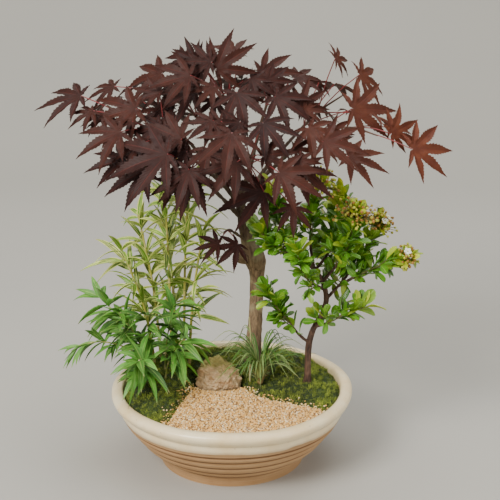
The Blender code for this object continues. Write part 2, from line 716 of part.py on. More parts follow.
def thorn_shoot_route(name):
    wood = THORN_WOOD[name]
    whole = smooth_route([*wood, *THORN_SHOOTS[name][0]], 2)
    stem = whole[2 * (len(wood) - 1):]
    stem[0] = stem[0] + (stem[1] - stem[0]).normalized() * (GAP + 0.4)
    return stem


def thorn_trunk(work):
    tube(work, [Vector(p[:3]) for p in THORN_TRUNK], [p[3] for p in THORN_TRUNK], 8,
         upright_ends=True)


def thorn_side_wood(work):
    for points in THORN_WOOD.values():
        route = smooth_route(points, 2)
        tube(work, route, lerp_radii(route, 1.6, 1.1), 5)


def bud_head(name, stem, radius):
    """A domed cluster of round buds on fine stalks that fan from one point."""
    along = (stem[-1] - stem[-2]).normalized()
    foot = stem[-1] + along * 1.2
    rand = random.Random(sum(map(ord, name)))
    buds = []
    for k in range(BUDS):
        fan = math.sqrt((k + 0.5) / BUDS) * 0.95
        out = Matrix.Rotation(GOLDEN * k, 3, along) @ along.orthogonal().normalized()
        way = (along * math.cos(fan * 1.1) + out * math.sin(fan * 1.1)).normalized()
        buds.append(foot + way * radius * rand.uniform(0.82, 1.0))
    return foot, buds


def make_firethorn(wood, leaf_green, bud_brown):
    grown("firethorn_trunk", thorn_trunk, thorn_side_wood, wood)
    for a, b in zip(THORN_TRUNK, THORN_TRUNK[1:]):
        taken.append((Vector(a[:3]), Vector(b[:3]), a[3] + 0.3, "firethorn_trunk"))
    for points in THORN_WOOD.values():
        claim_route(smooth_route(points, 2), 1.7, "firethorn_trunk")
    stems = {name: thorn_shoot_route(name) for name in THORN_SHOOTS}
    for name, stem in stems.items():
        claim_route(stem, 0.9, "firethorn_shoot_" + name)
    for name, radius in BUD_HEADS.items():
        foot, buds = bud_head(name, stems[name], radius)
        for bud in buds:
            taken.append((foot, bud, 1.45, "firethorn_buds_" + name))

        def core(work, foot=foot):
            bmesh.ops.create_icosphere(work, subdivisions=1, radius=0.9,
                                       matrix=Matrix.Translation(foot))

        def growth(work, foot=foot, buds=buds):
            for bud in buds:
                tube(work, [foot, bud], [0.45, 0.45], 3)
                bmesh.ops.create_uvsphere(work, u_segments=4, v_segments=2, radius=1.8,
                                          matrix=Matrix.Translation(bud))

        grown("firethorn_buds_" + name, core, growth, bud_brown)
    for number, (name, stem) in enumerate(stems.items()):
        owner = "firethorn_shoot_" + name
        plan = (THORN_SHOOTS[name][1], *THORN_PLAN)
        leaves = leafy_shoot(owner, stem, plan, 64 + number)

        def core(work, stem=stem):
            tube(work, stem, lerp_radii(stem, 1.1, 0.7), 3)

        def growth(work, leaves=leaves):
            for root, tip, width, normal in leaves:
                slender_leaf(work, root, tip, width, normal, THORN_STATIONS, 0.0)

        grown(owner, core, growth, leaf_green)


# ---------------------------------------------------------------- mondo grass
GRASS_AT = (28, -2)
GRASS_BLADES = 22
STALK = [(18, 8, 56), (18, 8, 90), (19, 6, 118), (17, 4, 146)]


def grass_crown(work):
    bmesh.ops.create_icosphere(work, subdivisions=1, radius=4.2,
                               matrix=Matrix.Translation((*GRASS_AT, MOSS_TOP)))


def grass_blades(work):
    """Arching three-sided blades that spring from the crown."""
    rand = random.Random(9)
    claim_route(smooth_route(STALK, 3), 1.2, "grass_stalk")
    for k in range(GRASS_BLADES):
        reach = rand.uniform(30, 52)
        rise = rand.uniform(20, 44)
        for attempt in range(12):
            heading = GOLDEN * k + attempt * 0.4
            out = Vector((math.cos(heading), math.sin(heading), 0))
            foot = Vector((*GRASS_AT, 83.5 + 0.11 * k)) + out * 1.8
            route = [foot, foot + out * reach * 0.22 + Vector((0, 0, rise * 0.72)),
                     foot + out * reach * 0.62 + Vector((0, 0, rise)),
                     foot + out * reach + Vector((0, 0, rise * 0.72))]
            if all(is_free(a, b, 1.0, "mondo_grass") for a, b in zip(route, route[1:])):
                tube(work, route, [0.9, 1.0, 0.85, 0.3], 3)
                break


# ---------------------------------------------------------------- assembly
def sockets(work):
    """Round holes for every stem, from above the moss down into the soil."""
    holes = [(TRUNK[0][0], TRUNK[0][1], 10.9), (THORN_TRUNK[0][0], THORN_TRUNK[0][1], 5.0),
             (*GRASS_AT, 5.2), (STALK[0][0], STALK[0][1], 2.0)]
    holes += [(row[0], row[1], 2.7) for row in TALL_CULMS + LOW_SHOOTS]
    holes.append((REACHING[0][0], REACHING[0][1], 3.0))
    for x, y, radius in holes:
        depth = SOIL_TOP - SOCKET_DEPTH - 2 * GAP
        place = Matrix.Translation((x, y, (depth + SOCKET_TOP) / 2))
        bmesh.ops.create_cone(work, cap_ends=True, segments=7, radius1=radius, radius2=radius,
                              depth=SOCKET_TOP - depth, matrix=place)


def main():
    clear_scene()
    axis = bpy.data.objects.new("bowl_axis", None)
    axis.location = (BOWL_AXIS[0] * MM, BOWL_AXIS[1] * MM, 0.0)
    bpy.context.collection.objects.link(axis)

    glazed = material("glazed_stoneware", (0.74, 0.66, 0.52), 0.35)
    gravel = material("gravel", (0.42, 0.38, 0.33), 0.9)
    earth = material("earth", (0.07, 0.045, 0.03), 0.95)
    sand = material("sand", (0.72, 0.50, 0.28), 0.85)
    moss = material("moss", (0.05, 0.09, 0.02), 0.95)
    rock = material("rock", (0.52, 0.40, 0.31), 0.9)
    bark = material("bark", (0.20, 0.13, 0.09), 0.85)
    red = material("maple_leaf", (0.075, 0.022, 0.02), 0.55)
    striped = material("striped_leaf", (0.38, 0.52, 0.16), 0.5)
    green = material("bamboo_leaf", (0.16, 0.36, 0.08), 0.5)
    leaf = material("firethorn_leaf", (0.10, 0.30, 0.02), 0.35)
    bud = material("bud", (0.45, 0.24, 0.10), 0.7)
    blade = material("grass_blade", (0.07, 0.16, 0.04), 0.5)
    straw = material("dry_stalk", (0.55, 0.42, 0.20), 0.7)
    plastic = material("net_plastic", (0.03, 0.03, 0.03), 0.6)
    wire = material("wire", (0.55, 0.50, 0.42), 0.35, 1.0)

    holes = cutter("sockets", sockets)
    outline_sand, outline_left, outline_right = ground_outlines()

    new_object("bowl", bowl, glazed)
    new_object("drain_net", drain_net, plastic, smooth=False)
    new_object("net_clip", net_clip, wire)
    new_object("drainage_grit", grit, gravel)
    boolean(new_object("potting_soil", soil, earth), holes, "DIFFERENCE")
    new_object("stone", stone, rock)
    new_object("sand_stream",
               lambda work: bed(work, outline_sand, (0, -62), sand_height, 70.0), sand)
    beds = [("moss_left", outline_left, (-62, 12), left_moss_height),
            ("moss_right", outline_right, (52, 26), right_moss_height)]
    for name, outline, centre, height in beds:
        made = new_object(name, lambda work: bed(work, outline, centre, height, 69.0), moss)
        boolean(made, holes, "DIFFERENCE")

    make_maple(bark, red)
    claim_route([Vector(p[:3]) for p in TRUNK], 8.5, "maple_trunk")
    for points, thick, _ in BOUGHS.values():
        claim_route(smooth_route(points, 3), thick, "maple_trunk")
    make_firethorn(bark, leaf, bud)
    make_bamboo(striped, green)
    grown("mondo_grass", grass_crown, grass_blades, blade)
    new_object("grass_stalk", lambda work: tube(
        work, smooth_route(STALK, 3), lerp_radii(smooth_route(STALK, 3), 1.0, 0.7), 6,
        upright_ends=True), straw)


main()
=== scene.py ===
"""A landscape bonsai planting in a stoneware bowl, finished to be looked at."""

import math
import random

import bpy
import numpy as np
from mathutils import Matrix, Vector, noise


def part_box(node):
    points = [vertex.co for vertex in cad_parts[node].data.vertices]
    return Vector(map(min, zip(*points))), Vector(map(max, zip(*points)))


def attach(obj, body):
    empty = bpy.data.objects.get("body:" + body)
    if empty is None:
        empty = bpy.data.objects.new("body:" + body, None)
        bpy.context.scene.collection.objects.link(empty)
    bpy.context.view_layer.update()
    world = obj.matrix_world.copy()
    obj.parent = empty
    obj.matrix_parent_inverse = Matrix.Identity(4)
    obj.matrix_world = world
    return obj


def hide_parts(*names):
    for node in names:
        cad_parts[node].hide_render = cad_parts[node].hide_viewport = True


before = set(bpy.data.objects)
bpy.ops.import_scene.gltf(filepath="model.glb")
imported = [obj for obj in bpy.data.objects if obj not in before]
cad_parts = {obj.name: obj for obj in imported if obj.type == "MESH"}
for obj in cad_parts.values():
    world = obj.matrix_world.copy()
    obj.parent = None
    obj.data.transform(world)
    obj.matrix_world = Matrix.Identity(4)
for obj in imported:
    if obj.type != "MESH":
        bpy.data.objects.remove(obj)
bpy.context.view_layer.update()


# ------------------------------------------------------------ where it stands
# A pale floor that sweeps up behind into a plain wall, under large soft lamps.
# The camera stands in front and looks down a little, into the bowl.
MM = 0.001                                    # one millimetre, in metres
BOWL_LOW, BOWL_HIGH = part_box("bowl")
AXIS = Vector(((BOWL_LOW.x + BOWL_HIGH.x) / 2, (BOWL_LOW.y + BOWL_HIGH.y) / 2, 0.0))
EYE = Vector((0.018, -1.192, 0.612))          # from the foot of the bowl's axis
EYE_TILT = math.radians(71.66)
FLOOR_SIZE, WALL_HEIGHT, SWEEP = 7.0, 3.0, 0.9
WALL_AT = 1.9                                 # how far behind the bowl the wall stands
LAMPS_AIM = Vector((0, 0, 0.2))


def feed(tree, node, inputs):
    """Give a node its inputs: a socket is linked, any other value is set."""
    for key, value in inputs.items():
        if isinstance(value, bpy.types.NodeSocket):
            tree.links.new(value, node.inputs[key])
        else:
            node.inputs[key].default_value = value


def put(tree, kind, inputs=None, **settings):
    """Add a node with its settings and its inputs."""
    made = tree.nodes.new(kind)
    for key, value in settings.items():
        setattr(made, key, value)
    feed(tree, made, inputs or {})
    return made


def tint(tree, mask, low, high):
    """Colours from low to high, where the mask goes from 0 to 1."""
    return put(tree, "ShaderNodeMix", {0: mask, 6: low, 7: high}, data_type="RGBA").outputs[2]


def new_finish(name, **plain):
    """A material, its nodes, its shader and the coordinates it is painted in."""
    made = bpy.data.materials.new(name)
    made.use_nodes = True
    shader = made.node_tree.nodes["Principled BSDF"]
    for label, value in plain.items():
        shader.inputs[label.replace("_", " ")].default_value = value
    where = put(made.node_tree, "ShaderNodeTexCoord").outputs["Object"]
    return made, made.node_tree, shader, where


def lamp(name, place, size, power, colour):
    """A square soft lamp that points at the planting."""
    bpy.ops.object.light_add(type="AREA", location=place)
    made = bpy.context.object
    made.name = name
    made.data.size, made.data.energy, made.data.color = size, power, colour
    made.rotation_euler = (LAMPS_AIM - Vector(place)).to_track_quat("-Z", "Y").to_euler()


def select_wall_foot():
    """Select the edge at the back of the floor, where the wall rises."""
    for edge in floor.data.edges:
        ends = [floor.data.vertices[v].co for v in edge.vertices]
        edge.select = all(end.y > WALL_AT - 0.1 and end.z < 0.1 for end in ends)


bpy.ops.object.select_all(action="DESELECT")
bpy.ops.mesh.primitive_plane_add(size=FLOOR_SIZE, location=(0, WALL_AT - FLOOR_SIZE / 2, 0))
floor = bpy.context.object
floor.name = "floor"
bpy.ops.object.transform_apply(location=True)
bpy.ops.object.mode_set(mode="EDIT")
bpy.ops.mesh.select_mode(type="EDGE")
bpy.ops.mesh.select_all(action="DESELECT")
bpy.ops.object.mode_set(mode="OBJECT")
select_wall_foot()
bpy.ops.object.mode_set(mode="EDIT")
bpy.ops.mesh.extrude_region_move(TRANSFORM_OT_translate={"value": (0, 0, WALL_HEIGHT)})
bpy.ops.mesh.select_all(action="DESELECT")
bpy.ops.object.mode_set(mode="OBJECT")
select_wall_foot()
bpy.ops.object.mode_set(mode="EDIT")
bpy.ops.mesh.bevel(offset=SWEEP, segments=20)
bpy.ops.object.mode_set(mode="OBJECT")
bpy.ops.object.shade_smooth()
paper, tree, shader, where = new_finish("backdrop_paper", Roughness=0.9)
grain = put(tree, "ShaderNodeTexNoise", {"Vector": where, "Scale": 3.0})
shade = tint(tree, grain.outputs[0], (0.40, 0.39, 0.36, 1), (0.45, 0.435, 0.39, 1))
feed(tree, shader, {"Base Color": shade})
floor.data.materials.append(paper)

lamp("window_left", (-1.2, -1.5, 1.7), 1.0, 74, (1.0, 0.97, 0.92))
lamp("window_right", (1.7, -1.1, 1.2), 1.5, 18, (1.0, 0.98, 0.96))
lamp("sky_panel", (0.2, 0.5, 1.9), 1.6, 26, (1.0, 1.0, 0.98))
bpy.context.scene.world = bpy.data.worlds.new("soft_room")
bpy.context.scene.world.use_nodes = True
sky = bpy.context.scene.world.node_tree.nodes["Background"]
sky.inputs["Color"].default_value = (1.0, 0.98, 0.94, 1)
sky.inputs["Strength"].default_value = 0.42

bpy.ops.object.camera_add(location=AXIS + EYE, rotation=(EYE_TILT, 0, 0))
camera = bpy.context.object
camera.data.lens, camera.data.sensor_width = 93.6, 36.0
bpy.context.scene.camera = camera


# ------------------------------------------------------------ the bowl
# Thrown on a wheel in tan stoneware, with throwing ridges left bare and a thick
# cream glaze poured over the lip and shoulder. It stands on a turned foot ring.
BOWL_SIDES = 160
WALL_STEP = 1.15                # height between two rings of the outside wall
FOOT_R, FOOT_RING, FOOT_RECESS = 72.0, 11.0, 5.0
DRAIN_R, FLOOR_Z = 10.0, 13.0
OUTSIDE = [(0.0, FOOT_R), (9.0, 73.6), (11.2, 74.6), (18.0, 84.2), (27.0, 92.6), (37.0, 99.8),
           (45.0, 106.0), (53.0, 111.0), (57.0, 112.8), (61.5, 113.6), (67.0, 118.6), (70.4, 119.9)]
GROOVES = [(47.4, 1.3), (39.6, 1.3), (30.6, 1.3), (21.0, 1.3), (11.0, 1.0), (62.4, 0.9)]
FULL_GROOVE = 1.3               # the depth of the deepest grooves in the list
GROOVE_DEEP, GROOVE_WIDE = 1.15, 1.25
RIB_SWELL = 0.9                 # how far the clay stands out between two grooves
RIBS_FROM, RIBS_TO, RIB_STEP = 11.0, 50.0, 9.1
LIP = [(72.6, 119.6), (74.6, 117.9), (75.8, 114.6), (76.0, 111.0), (74.8, 108.8), (72.0, 108.0)]
INSIDE = [(66.0, 107.0), (48.0, 101.5), (32.0, 90.5), (20.0, 78.0), (FLOOR_Z, 66.0),
          (FLOOR_Z, DRAIN_R), (FOOT_RECESS, DRAIN_R), (FOOT_RECESS, FOOT_R - FOOT_RING - 1.5),
          (0.0, FOOT_R - FOOT_RING)]
GLAZE_EDGE = 53.0
OUTER_SKIN = 3.0                # how far in from the outline a point is still outside
LIP_FROM = 71.0
SWAY_FROM, SWAY_OVER, LIP_SWAY_FROM = 12.0, 50.0, 60.0
# A hand-thrown wall is a little out of round: waves round it, their start, their size.
WALL_WAVES = ((2, 0.6, 0.55), (5, 0.0, 0.3), (9, 0.0, 0.15))
LIP_WAVES = ((3, 1.0, 0.4), (7, 0.0, 0.25))


def groove_at(z):
    """How deep a finger groove is at a height, from 0 to 1."""
    near = sum(depth * math.exp(-((z - at) / GROOVE_WIDE) ** 2) for at, depth in GROOVES)
    return near / FULL_GROOVE


def wall_radius(z):
    """The outside radius at a height, with its ribs and grooves."""
    heights, radii = zip(*OUTSIDE)
    swell = 0.0
    if RIBS_FROM < z < RIBS_TO:
        swell = RIB_SWELL * abs(math.sin(math.pi * (z - RIBS_FROM) / RIB_STEP))
    return float(np.interp(z, heights, radii)) + swell - GROOVE_DEEP * groove_at(z)


def wave(turn, waves):
    """How far the clay is off the true circle at one place round the bowl."""
    return sum(size * math.sin(count * turn + start) for count, start, size in waves)


def fit(piece, slot, *solids):
    """Fix a finished piece in the planting, in place of its plain solids."""
    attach(piece, "root")
    if solids:
        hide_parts(*solids)


def span(tree, value, start, end, low=0.0, high=1.0):
    """A value stretched from start..end to low..high, and held there."""
    return put(tree, "ShaderNodeMapRange", {0: value, 1: start, 2: end, 3: low, 4: high}).outputs[0]


def sums(tree, operation, first, second=0.0):
    """One step of arithmetic on one or two values."""
    return put(tree, "ShaderNodeMath", {0: first, 1: second}, operation=operation).outputs[0]


def new_group(name, inputs, outputs):
    """An empty group of nodes with named sockets."""
    tree = bpy.data.node_groups.new(name, "ShaderNodeTree")
    for label, value in inputs.items():
        kind = "Vector" if value is None else "Float" if isinstance(value, float) else "Color"
        socket = tree.interface.new_socket(label, in_out="INPUT",
                                           socket_type="NodeSocket" + kind)
        if value is not None:
            socket.default_value = value
    for label, kind in outputs.items():
        tree.interface.new_socket(label, in_out="OUTPUT", socket_type="NodeSocket" + kind)
    return tree, tree.nodes.new("NodeGroupInput").outputs, tree.nodes.new("NodeGroupOutput")


def use_group(tree, name, inputs):
    """Place a shared group in a material and give it that material's values."""
    made = tree.nodes.new("ShaderNodeGroup")
    made.node_tree = bpy.data.node_groups[name]
    feed(tree, made, inputs)
    return made.outputs


# Soft blotches of two colours, which most natural surfaces here have.
group, given, result = new_group(
    "blotches", {"Vector": None, "Scale": 40.0, "Dark": (0, 0, 0, 1), "Light": (1, 1, 1, 1),
                 "Contrast": 0.25}, {"Color": "Color", "Mask": "Float"})
cloud = put(group, "ShaderNodeTexNoise", {"Vector": given["Vector"], "Scale": given["Scale"],
                                          "Detail": 5.0, "Roughness": 0.6})
low = sums(group, "SUBTRACT", 0.5, given["Contrast"])
high = sums(group, "ADD", 0.5, given["Contrast"])
mask = span(group, cloud.outputs[0], low, high)
feed(group, result, {"Color": tint(group, mask, given["Dark"], given["Light"]), "Mask": mask})

# A fine grain that roughens a surface, with coarser lumps under it.
group, given, result = new_group(
    "fine_grain", {"Vector": None, "Scale": 900.0, "Strength": 0.3, "Depth": 0.0003},
    {"Normal": "Vector", "Grain": "Float"})
small = put(group, "ShaderNodeTexNoise", {"Vector": given["Vector"], "Scale": given["Scale"],
                                          "Detail": 4.0, "Roughness": 0.65})
coarse = put(group, "ShaderNodeTexNoise",
             {"Vector": given["Vector"], "Scale": sums(group, "MULTIPLY", given["Scale"], 0.22),
              "Detail": 3.0})
both = sums(group, "ADD", small.outputs[0], coarse.outputs[0])
bump = put(group, "ShaderNodeBump", {"Height": both, "Strength": given["Strength"],
                                     "Distance": given["Depth"]})
feed(group, result, {"Normal": bump.outputs[0], "Grain": small.outputs[0]})


def blotched(tree, where, scale, dark=(0, 0, 0, 1), light=(1, 1, 1, 1), contrast=0.25):
    """Soft blotches on a finish: their colours and their mask."""
    return use_group(tree, "blotches", {"Vector": where, "Scale": scale, "Dark": dark,
                                        "Light": light, "Contrast": contrast})


def grained(tree, where, scale, depth, strength=0.3):
    """A fine grain on a finish: its relief and its mask."""
    return use_group(tree, "fine_grain", {"Vector": where, "Scale": scale, "Depth": depth,
                                          "Strength": strength})



stoneware, tree, shader, where = new_finish("glazed_stoneware", Coat_Roughness=0.25)
place = put(tree, "ShaderNodeSeparateXYZ", {0: where})
height = sums(tree, "MULTIPLY", place.outputs[2], 1000.0)
creep = put(tree, "ShaderNodeTexNoise", {"Vector": where, "Scale": 22.0, "Detail": 3.0})
over_edge = sums(tree, "ADD", height, span(tree, creep.outputs[0], 0.3, 0.7, -1.6, 1.6))
glazed = span(tree, over_edge, GLAZE_EDGE - 0.4, GLAZE_EDGE + 0.5)
thin_edge = span(tree, over_edge, GLAZE_EDGE + 3.6, GLAZE_EDGE + 0.3)
stretch = put(tree, "ShaderNodeMapping", {"Vector": where, "Scale": (9.0, 9.0, 620.0)})
streaks = put(tree, "ShaderNodeTexNoise", {"Vector": stretch.outputs[0], "Scale": 1.0,
                                           "Detail": 4.0})
# Painted shade: the groove depths darken the clay in the throwing grooves, and the glaze a little in the
# groove under the lip.
groove_shade = put(tree, "ShaderNodeAttribute", attribute_name="groove_shade").outputs["Fac"]
clay = blotched(tree, where, 26.0, (0.40, 0.205, 0.075, 1), (0.56, 0.335, 0.15, 1), 0.3)["Color"]
clay = tint(tree, span(tree, streaks.outputs[0], 0.35, 0.75, 0.0, 0.45), clay,
            (0.60, 0.43, 0.26, 1))
clay = tint(tree, span(tree, groove_shade, 0.1, 0.8, 0.0, 0.9), clay, (0.155, 0.072, 0.026, 1))
cream = blotched(tree, where, 34.0, (0.88, 0.66, 0.34, 1), (1.0, 0.87, 0.58, 1), 0.22)["Color"]
cream = tint(tree, span(tree, groove_shade, 0.1, 0.9, 0.0, 0.45), cream, (0.52, 0.40, 0.24, 1))
cream = tint(tree, sums(tree, "MULTIPLY", thin_edge, 0.55), cream, (0.50, 0.33, 0.17, 1))
specks = put(tree, "ShaderNodeTexVoronoi", {"Vector": where, "Scale": 150.0})
speck = span(tree, specks.outputs["Distance"], 0.13, 0.05)
cream = tint(tree, sums(tree, "MULTIPLY", speck, 0.5), cream, (0.36, 0.22, 0.10, 1))
rough = grained(tree, where, 620.0, 0.0004, span(tree, glazed, 0, 1, 0.5, 0.12))
feed(tree, shader, {"Base Color": tint(tree, glazed, clay, cream),
                    "Roughness": span(tree, glazed, 0.0, 1.0, 0.82, 0.34),
                    "Coat Weight": sums(tree, "MULTIPLY", glazed, 0.35),
                    "Normal": rough["Normal"]})

rings = [(z, wall_radius(z)) for z in np.arange(0.0, OUTSIDE[-1][0] + 0.1, WALL_STEP)]
rings += LIP + INSIDE
bpy.ops.object.select_all(action="DESELECT")
bpy.ops.mesh.primitive_circle_add(vertices=BOWL_SIDES, radius=rings[0][1] * MM,
                                  location=(AXIS.x, AXIS.y, 0))
bowl = bpy.context.object
bowl.name = "thrown_bowl"
bpy.ops.object.mode_set(mode="EDIT")
bpy.ops.mesh.select_all(action="SELECT")
for (z, radius), (next_z, next_radius) in zip(rings, rings[1:] + rings[:1]):
    rise = {"value": (0, 0, (next_z - z) * MM)}
    bpy.ops.mesh.extrude_region_move(TRANSFORM_OT_translate=rise)
    bpy.ops.transform.resize(value=(next_radius / radius, next_radius / radius, 1),
                             center_override=(AXIS.x, AXIS.y, 0))
bpy.ops.mesh.select_all(action="SELECT")
bpy.ops.mesh.remove_doubles(threshold=0.00002)
bpy.ops.mesh.normals_make_consistent(inside=False)
bpy.ops.object.mode_set(mode="OBJECT")
bpy.ops.object.transform_apply(location=True)
depths = []
for vertex in bowl.data.vertices:
    out = Vector((vertex.co.x - AXIS.x, vertex.co.y - AXIS.y, 0))
    z, turn = vertex.co.z / MM, math.atan2(out.y, out.x)
    skin = float(np.interp(z, *zip(*OUTSIDE))) - OUTER_SKIN
    outer = out.length / MM > skin or z > LIP_FROM
    depths.append(groove_at(z) if outer else 0.0)
    if outer and z > SWAY_FROM:
        lift = min(1.0, (z - SWAY_FROM) / SWAY_OVER)
        vertex.co += out.normalized() * (wave(turn, WALL_WAVES) * lift * MM)
        if z > LIP_SWAY_FROM:
            vertex.co.z += wave(turn, LIP_WAVES) * MM
# The groove depths are kept on the bowl for the painted shade in its grooves.
bowl.data.attributes.new("groove_shade", "FLOAT", "POINT").data.foreach_set("value", depths)
bpy.ops.object.shade_smooth_by_angle(angle=math.radians(50))
bowl.data.materials.append(stoneware)
fit(bowl, "glazed_stoneware", "bowl")


# ------------------------------------------------------------ under the soil
# A square of black net over the drain hole, a bent wire that clips it there,
# a layer of coarse grit, and dark crumbly soil that fills most of the bowl.
def coat(material, *solids):
    """Give a carried-over solid its finish."""
    for name in solids:
        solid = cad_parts[name]
        if not solid.material_slots:
            solid.data.materials.append(material)
        for place in solid.material_slots:
            place.material = material


def earthy(name, dark, light, scale, depth, roughness):
    """A rough crumbly finish in two colours."""
    made, tree, shader, where = new_finish(name)
    blotch = blotched(tree, where, scale, dark, light)
    grain = grained(tree, where, scale * 3.0, depth, 0.8)
    feed(tree, shader, {"Base Color": blotch["Color"], "Normal": grain["Normal"],
                        "Roughness": span(tree, grain["Grain"], 0.2, 0.8, roughness - 0.12,
                                          roughness)})
    return made


coat(earthy("net_plastic", (0.012, 0.012, 0.012, 1), (0.03, 0.03, 0.03, 1), 300.0, 0.0002, 0.6),
     "drain_net")
coat(earthy("coarse_grit", (0.22, 0.19, 0.15, 1), (0.52, 0.47, 0.40, 1), 260.0, 0.0015, 0.95),
     "drainage_grit")
coat(earthy("potting_soil", (0.018, 0.011, 0.006, 1), (0.075, 0.045, 0.025, 1), 220.0, 0.0015, 0.98),
     "potting_soil")
wire, tree, shader, where = new_finish("clip_wire", Metallic=1.0)
dull = blotched(tree, where, 400.0, (0.42, 0.38, 0.32, 1), (0.72, 0.69, 0.63, 1))
feed(tree, shader, {"Base Color": dull["Color"],
                    "Roughness": span(tree, dull["Mask"], 0.0, 1.0, 0.5, 0.28)})
coat(wire, "net_clip")


# ------------------------------------------------------------ the sand stream
# Coarse apricot sand, poured from the stone to the front rim. The bed is the
# carried-over solid, and loose grains about 2 mm across cover all of its top.
GRAINS, GRAIN_R = 6800, 1.02
SAND_TOP = 0.35                 # only faces that look upwards carry grains
STRAYS = 36000                  # places tried for grains that rolled off the stream
BANK_X = -20.0                  # the left moss pad lies left of this, the right one right
PROBE_FROM = 150.0              # looked down from, above all the ground
BURIED = 67.0                   # ground lower than this is inside the soil
ALL_ROUND = 6.3                 # a full turn in radians, rounded up


def to_axis(points):
    """Frame metres to millimetres from the foot of the bowl's axis."""
    return (np.asarray(points) - np.array(AXIS)) / MM


def scatter(node, count, rand, facing):
    """Places spread evenly over a solid's top, with the surface normal there."""
    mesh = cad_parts[node].data
    mesh.calc_loop_triangles()
    corners = np.empty(len(mesh.loop_triangles) * 3, dtype=np.int64)
    mesh.loop_triangles.foreach_get("vertices", corners)
    points = np.empty(len(mesh.vertices) * 3)
    mesh.vertices.foreach_get("co", points)
    a, b, c = (to_axis(points.reshape(-1, 3))[corners.reshape(-1, 3)[:, k]] for k in range(3))
    normals = np.cross(b - a, c - a)
    areas = np.linalg.norm(normals, axis=1)
    normals /= areas[:, None] + 1e-12
    areas = np.where(normals[:, 2] > facing, areas, 0.0)
    steps = (np.arange(count) + rand.random(count)) / count * areas.sum()
    face = np.searchsorted(np.cumsum(areas), steps).clip(0, len(areas) - 1)
    u, v = np.sqrt(rand.random(count)), rand.random(count)
    spots = (a[face] * (1 - u)[:, None] + b[face] * (u * (1 - v))[:, None]
             + c[face] * (u * v)[:, None])
    return spots, normals[face]


def top_of(node, spot):
    """The height of a solid's top at a place, or None where it is buried or absent."""
    start = AXIS + Vector((spot.x, spot.y, PROBE_FROM)) * MM
    hit, place, _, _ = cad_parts[node].ray_cast(start, (0, 0, -1))
    return (place.z - AXIS.z) / MM if hit and place.z > BURIED * MM else None


def turned(count, rand, lean):
    """Rotation matrices that turn each copy about Z and tip it a little."""
    spin = rand.random(count) * 2 * np.pi
    tip = rand.random(count) * lean
    aim = rand.random(count) * ALL_ROUND
    made = np.empty((count, 3, 3))
    for k in range(count):
        axis = Vector((math.cos(aim[k]), math.sin(aim[k]), 0))
        made[k] = Matrix.Rotation(tip[k], 3, axis) @ Matrix.Rotation(spin[k], 3, "Z")
    return made


class Heap:
    """Small bodies gathered into one piece, in millimetres from the bowl's axis."""

    def __init__(self):
        self.points, self.faces, self.maps, self.flats = [], [], [], []
        self.tones, self.finishes, self.count, self.bodies = [], [], 0, 0

    def add(self, points, faces, maps, flats, tone, finish=0):
        """One body: its pattern map, its outline laid flat, its tone and finish."""
        shift = self.count
        self.points.append(points)
        self.faces += [tuple(v + shift for v in face) for face in faces]
        self.finishes += [finish] * len(faces)
        self.maps.append(maps)
        self.flats.append(np.column_stack([flats, np.full(len(points), self.bodies)]))
        self.tones.append(np.broadcast_to(tone, len(points)))
        self.count += len(points)
        self.bodies += 1

    def piece(self, name, *finishes, sharp=50):
        """All bodies as one object, each with its own square of the flat map."""
        mesh = bpy.data.meshes.new(name)
        mesh.from_pydata((np.concatenate(self.points) * MM + np.array(AXIS)).tolist(), [],
                         self.faces)
        corners = np.empty(len(mesh.loops), dtype=np.int64)
        mesh.loops.foreach_get("vertex_index", corners)
        flats = np.concatenate(self.flats)
        side = math.ceil(math.sqrt(self.bodies))
        squares = np.column_stack([flats[:, 2] % side, flats[:, 2] // side])
        unwrapped = (squares + 0.06 + 0.88 * flats[:, :2]) / side
        for label, spots in (("blade", np.concatenate(self.maps)), ("OFBake", unwrapped)):
            layer = mesh.uv_layers.new(name=label)
            layer.data.foreach_set("uv", spots[corners].astype(np.float32).ravel())
        tones = mesh.attributes.new("tone", "FLOAT", "POINT")
        tones.data.foreach_set("value", np.concatenate(self.tones).astype(np.float32))
        mesh.polygons.foreach_set("material_index", self.finishes)
        mesh.shade_smooth()
        mesh.set_sharp_from_angle(angle=math.radians(sharp))
        for finish in finishes:
            mesh.materials.append(finish)
        made = bpy.data.objects.new(name, mesh)
        bpy.context.collection.objects.link(made)
        return made


def modelled(maker, **settings):
    """The points and faces of a primitive, which copies are taken from."""
    bpy.ops.object.select_all(action="DESELECT")
    maker(**settings)
    model = bpy.context.object
    points = np.array([v.co for v in model.data.vertices])
    faces = [tuple(p.vertices) for p in model.data.polygons]
    bpy.data.objects.remove(model, do_unlink=True)
    return points, faces


def read_tone(tree):
    """The tone that each body of a heap was given."""
    return put(tree, "ShaderNodeAttribute", attribute_name="tone").outputs["Fac"]


sand, tree, shader, where = new_finish("apricot_sand", Roughness=0.62)
tone = read_tone(tree)
warm = blotched(tree, where, 420.0, (0.74, 0.38, 0.09, 1), (1.0, 0.66, 0.22, 1))["Color"]
warm = tint(tree, span(tree, tone, 0.62, 1.0), warm, (1.0, 0.86, 0.58, 1))
warm = tint(tree, span(tree, tone, 0.16, 0.0), warm, (0.30, 0.165, 0.07, 1))
feed(tree, shader, {"Base Color": warm, "Normal": grained(tree, where, 2200.0, 0.0002)["Normal"]})
coat(sand, "sand_stream")

rand = np.random.default_rng(3)
ball, ball_faces = modelled(bpy.ops.mesh.primitive_ico_sphere_add, subdivisions=1, radius=1.0)
ball_flat = ball[:, :2] * 0.5 + 0.5
sand_grains = Heap()


def chipped(rand):
    """A ball knocked out of round, as a grain of crushed rock is."""
    return ball * (0.78 + 0.3 * rand.random((len(ball), 1))) * (1.0, 0.85, 0.75)


def add_grain(points, tone):
    """Put one grain in the stream's heap."""
    sand_grains.add(points, ball_faces, ball_flat, ball_flat, tone)


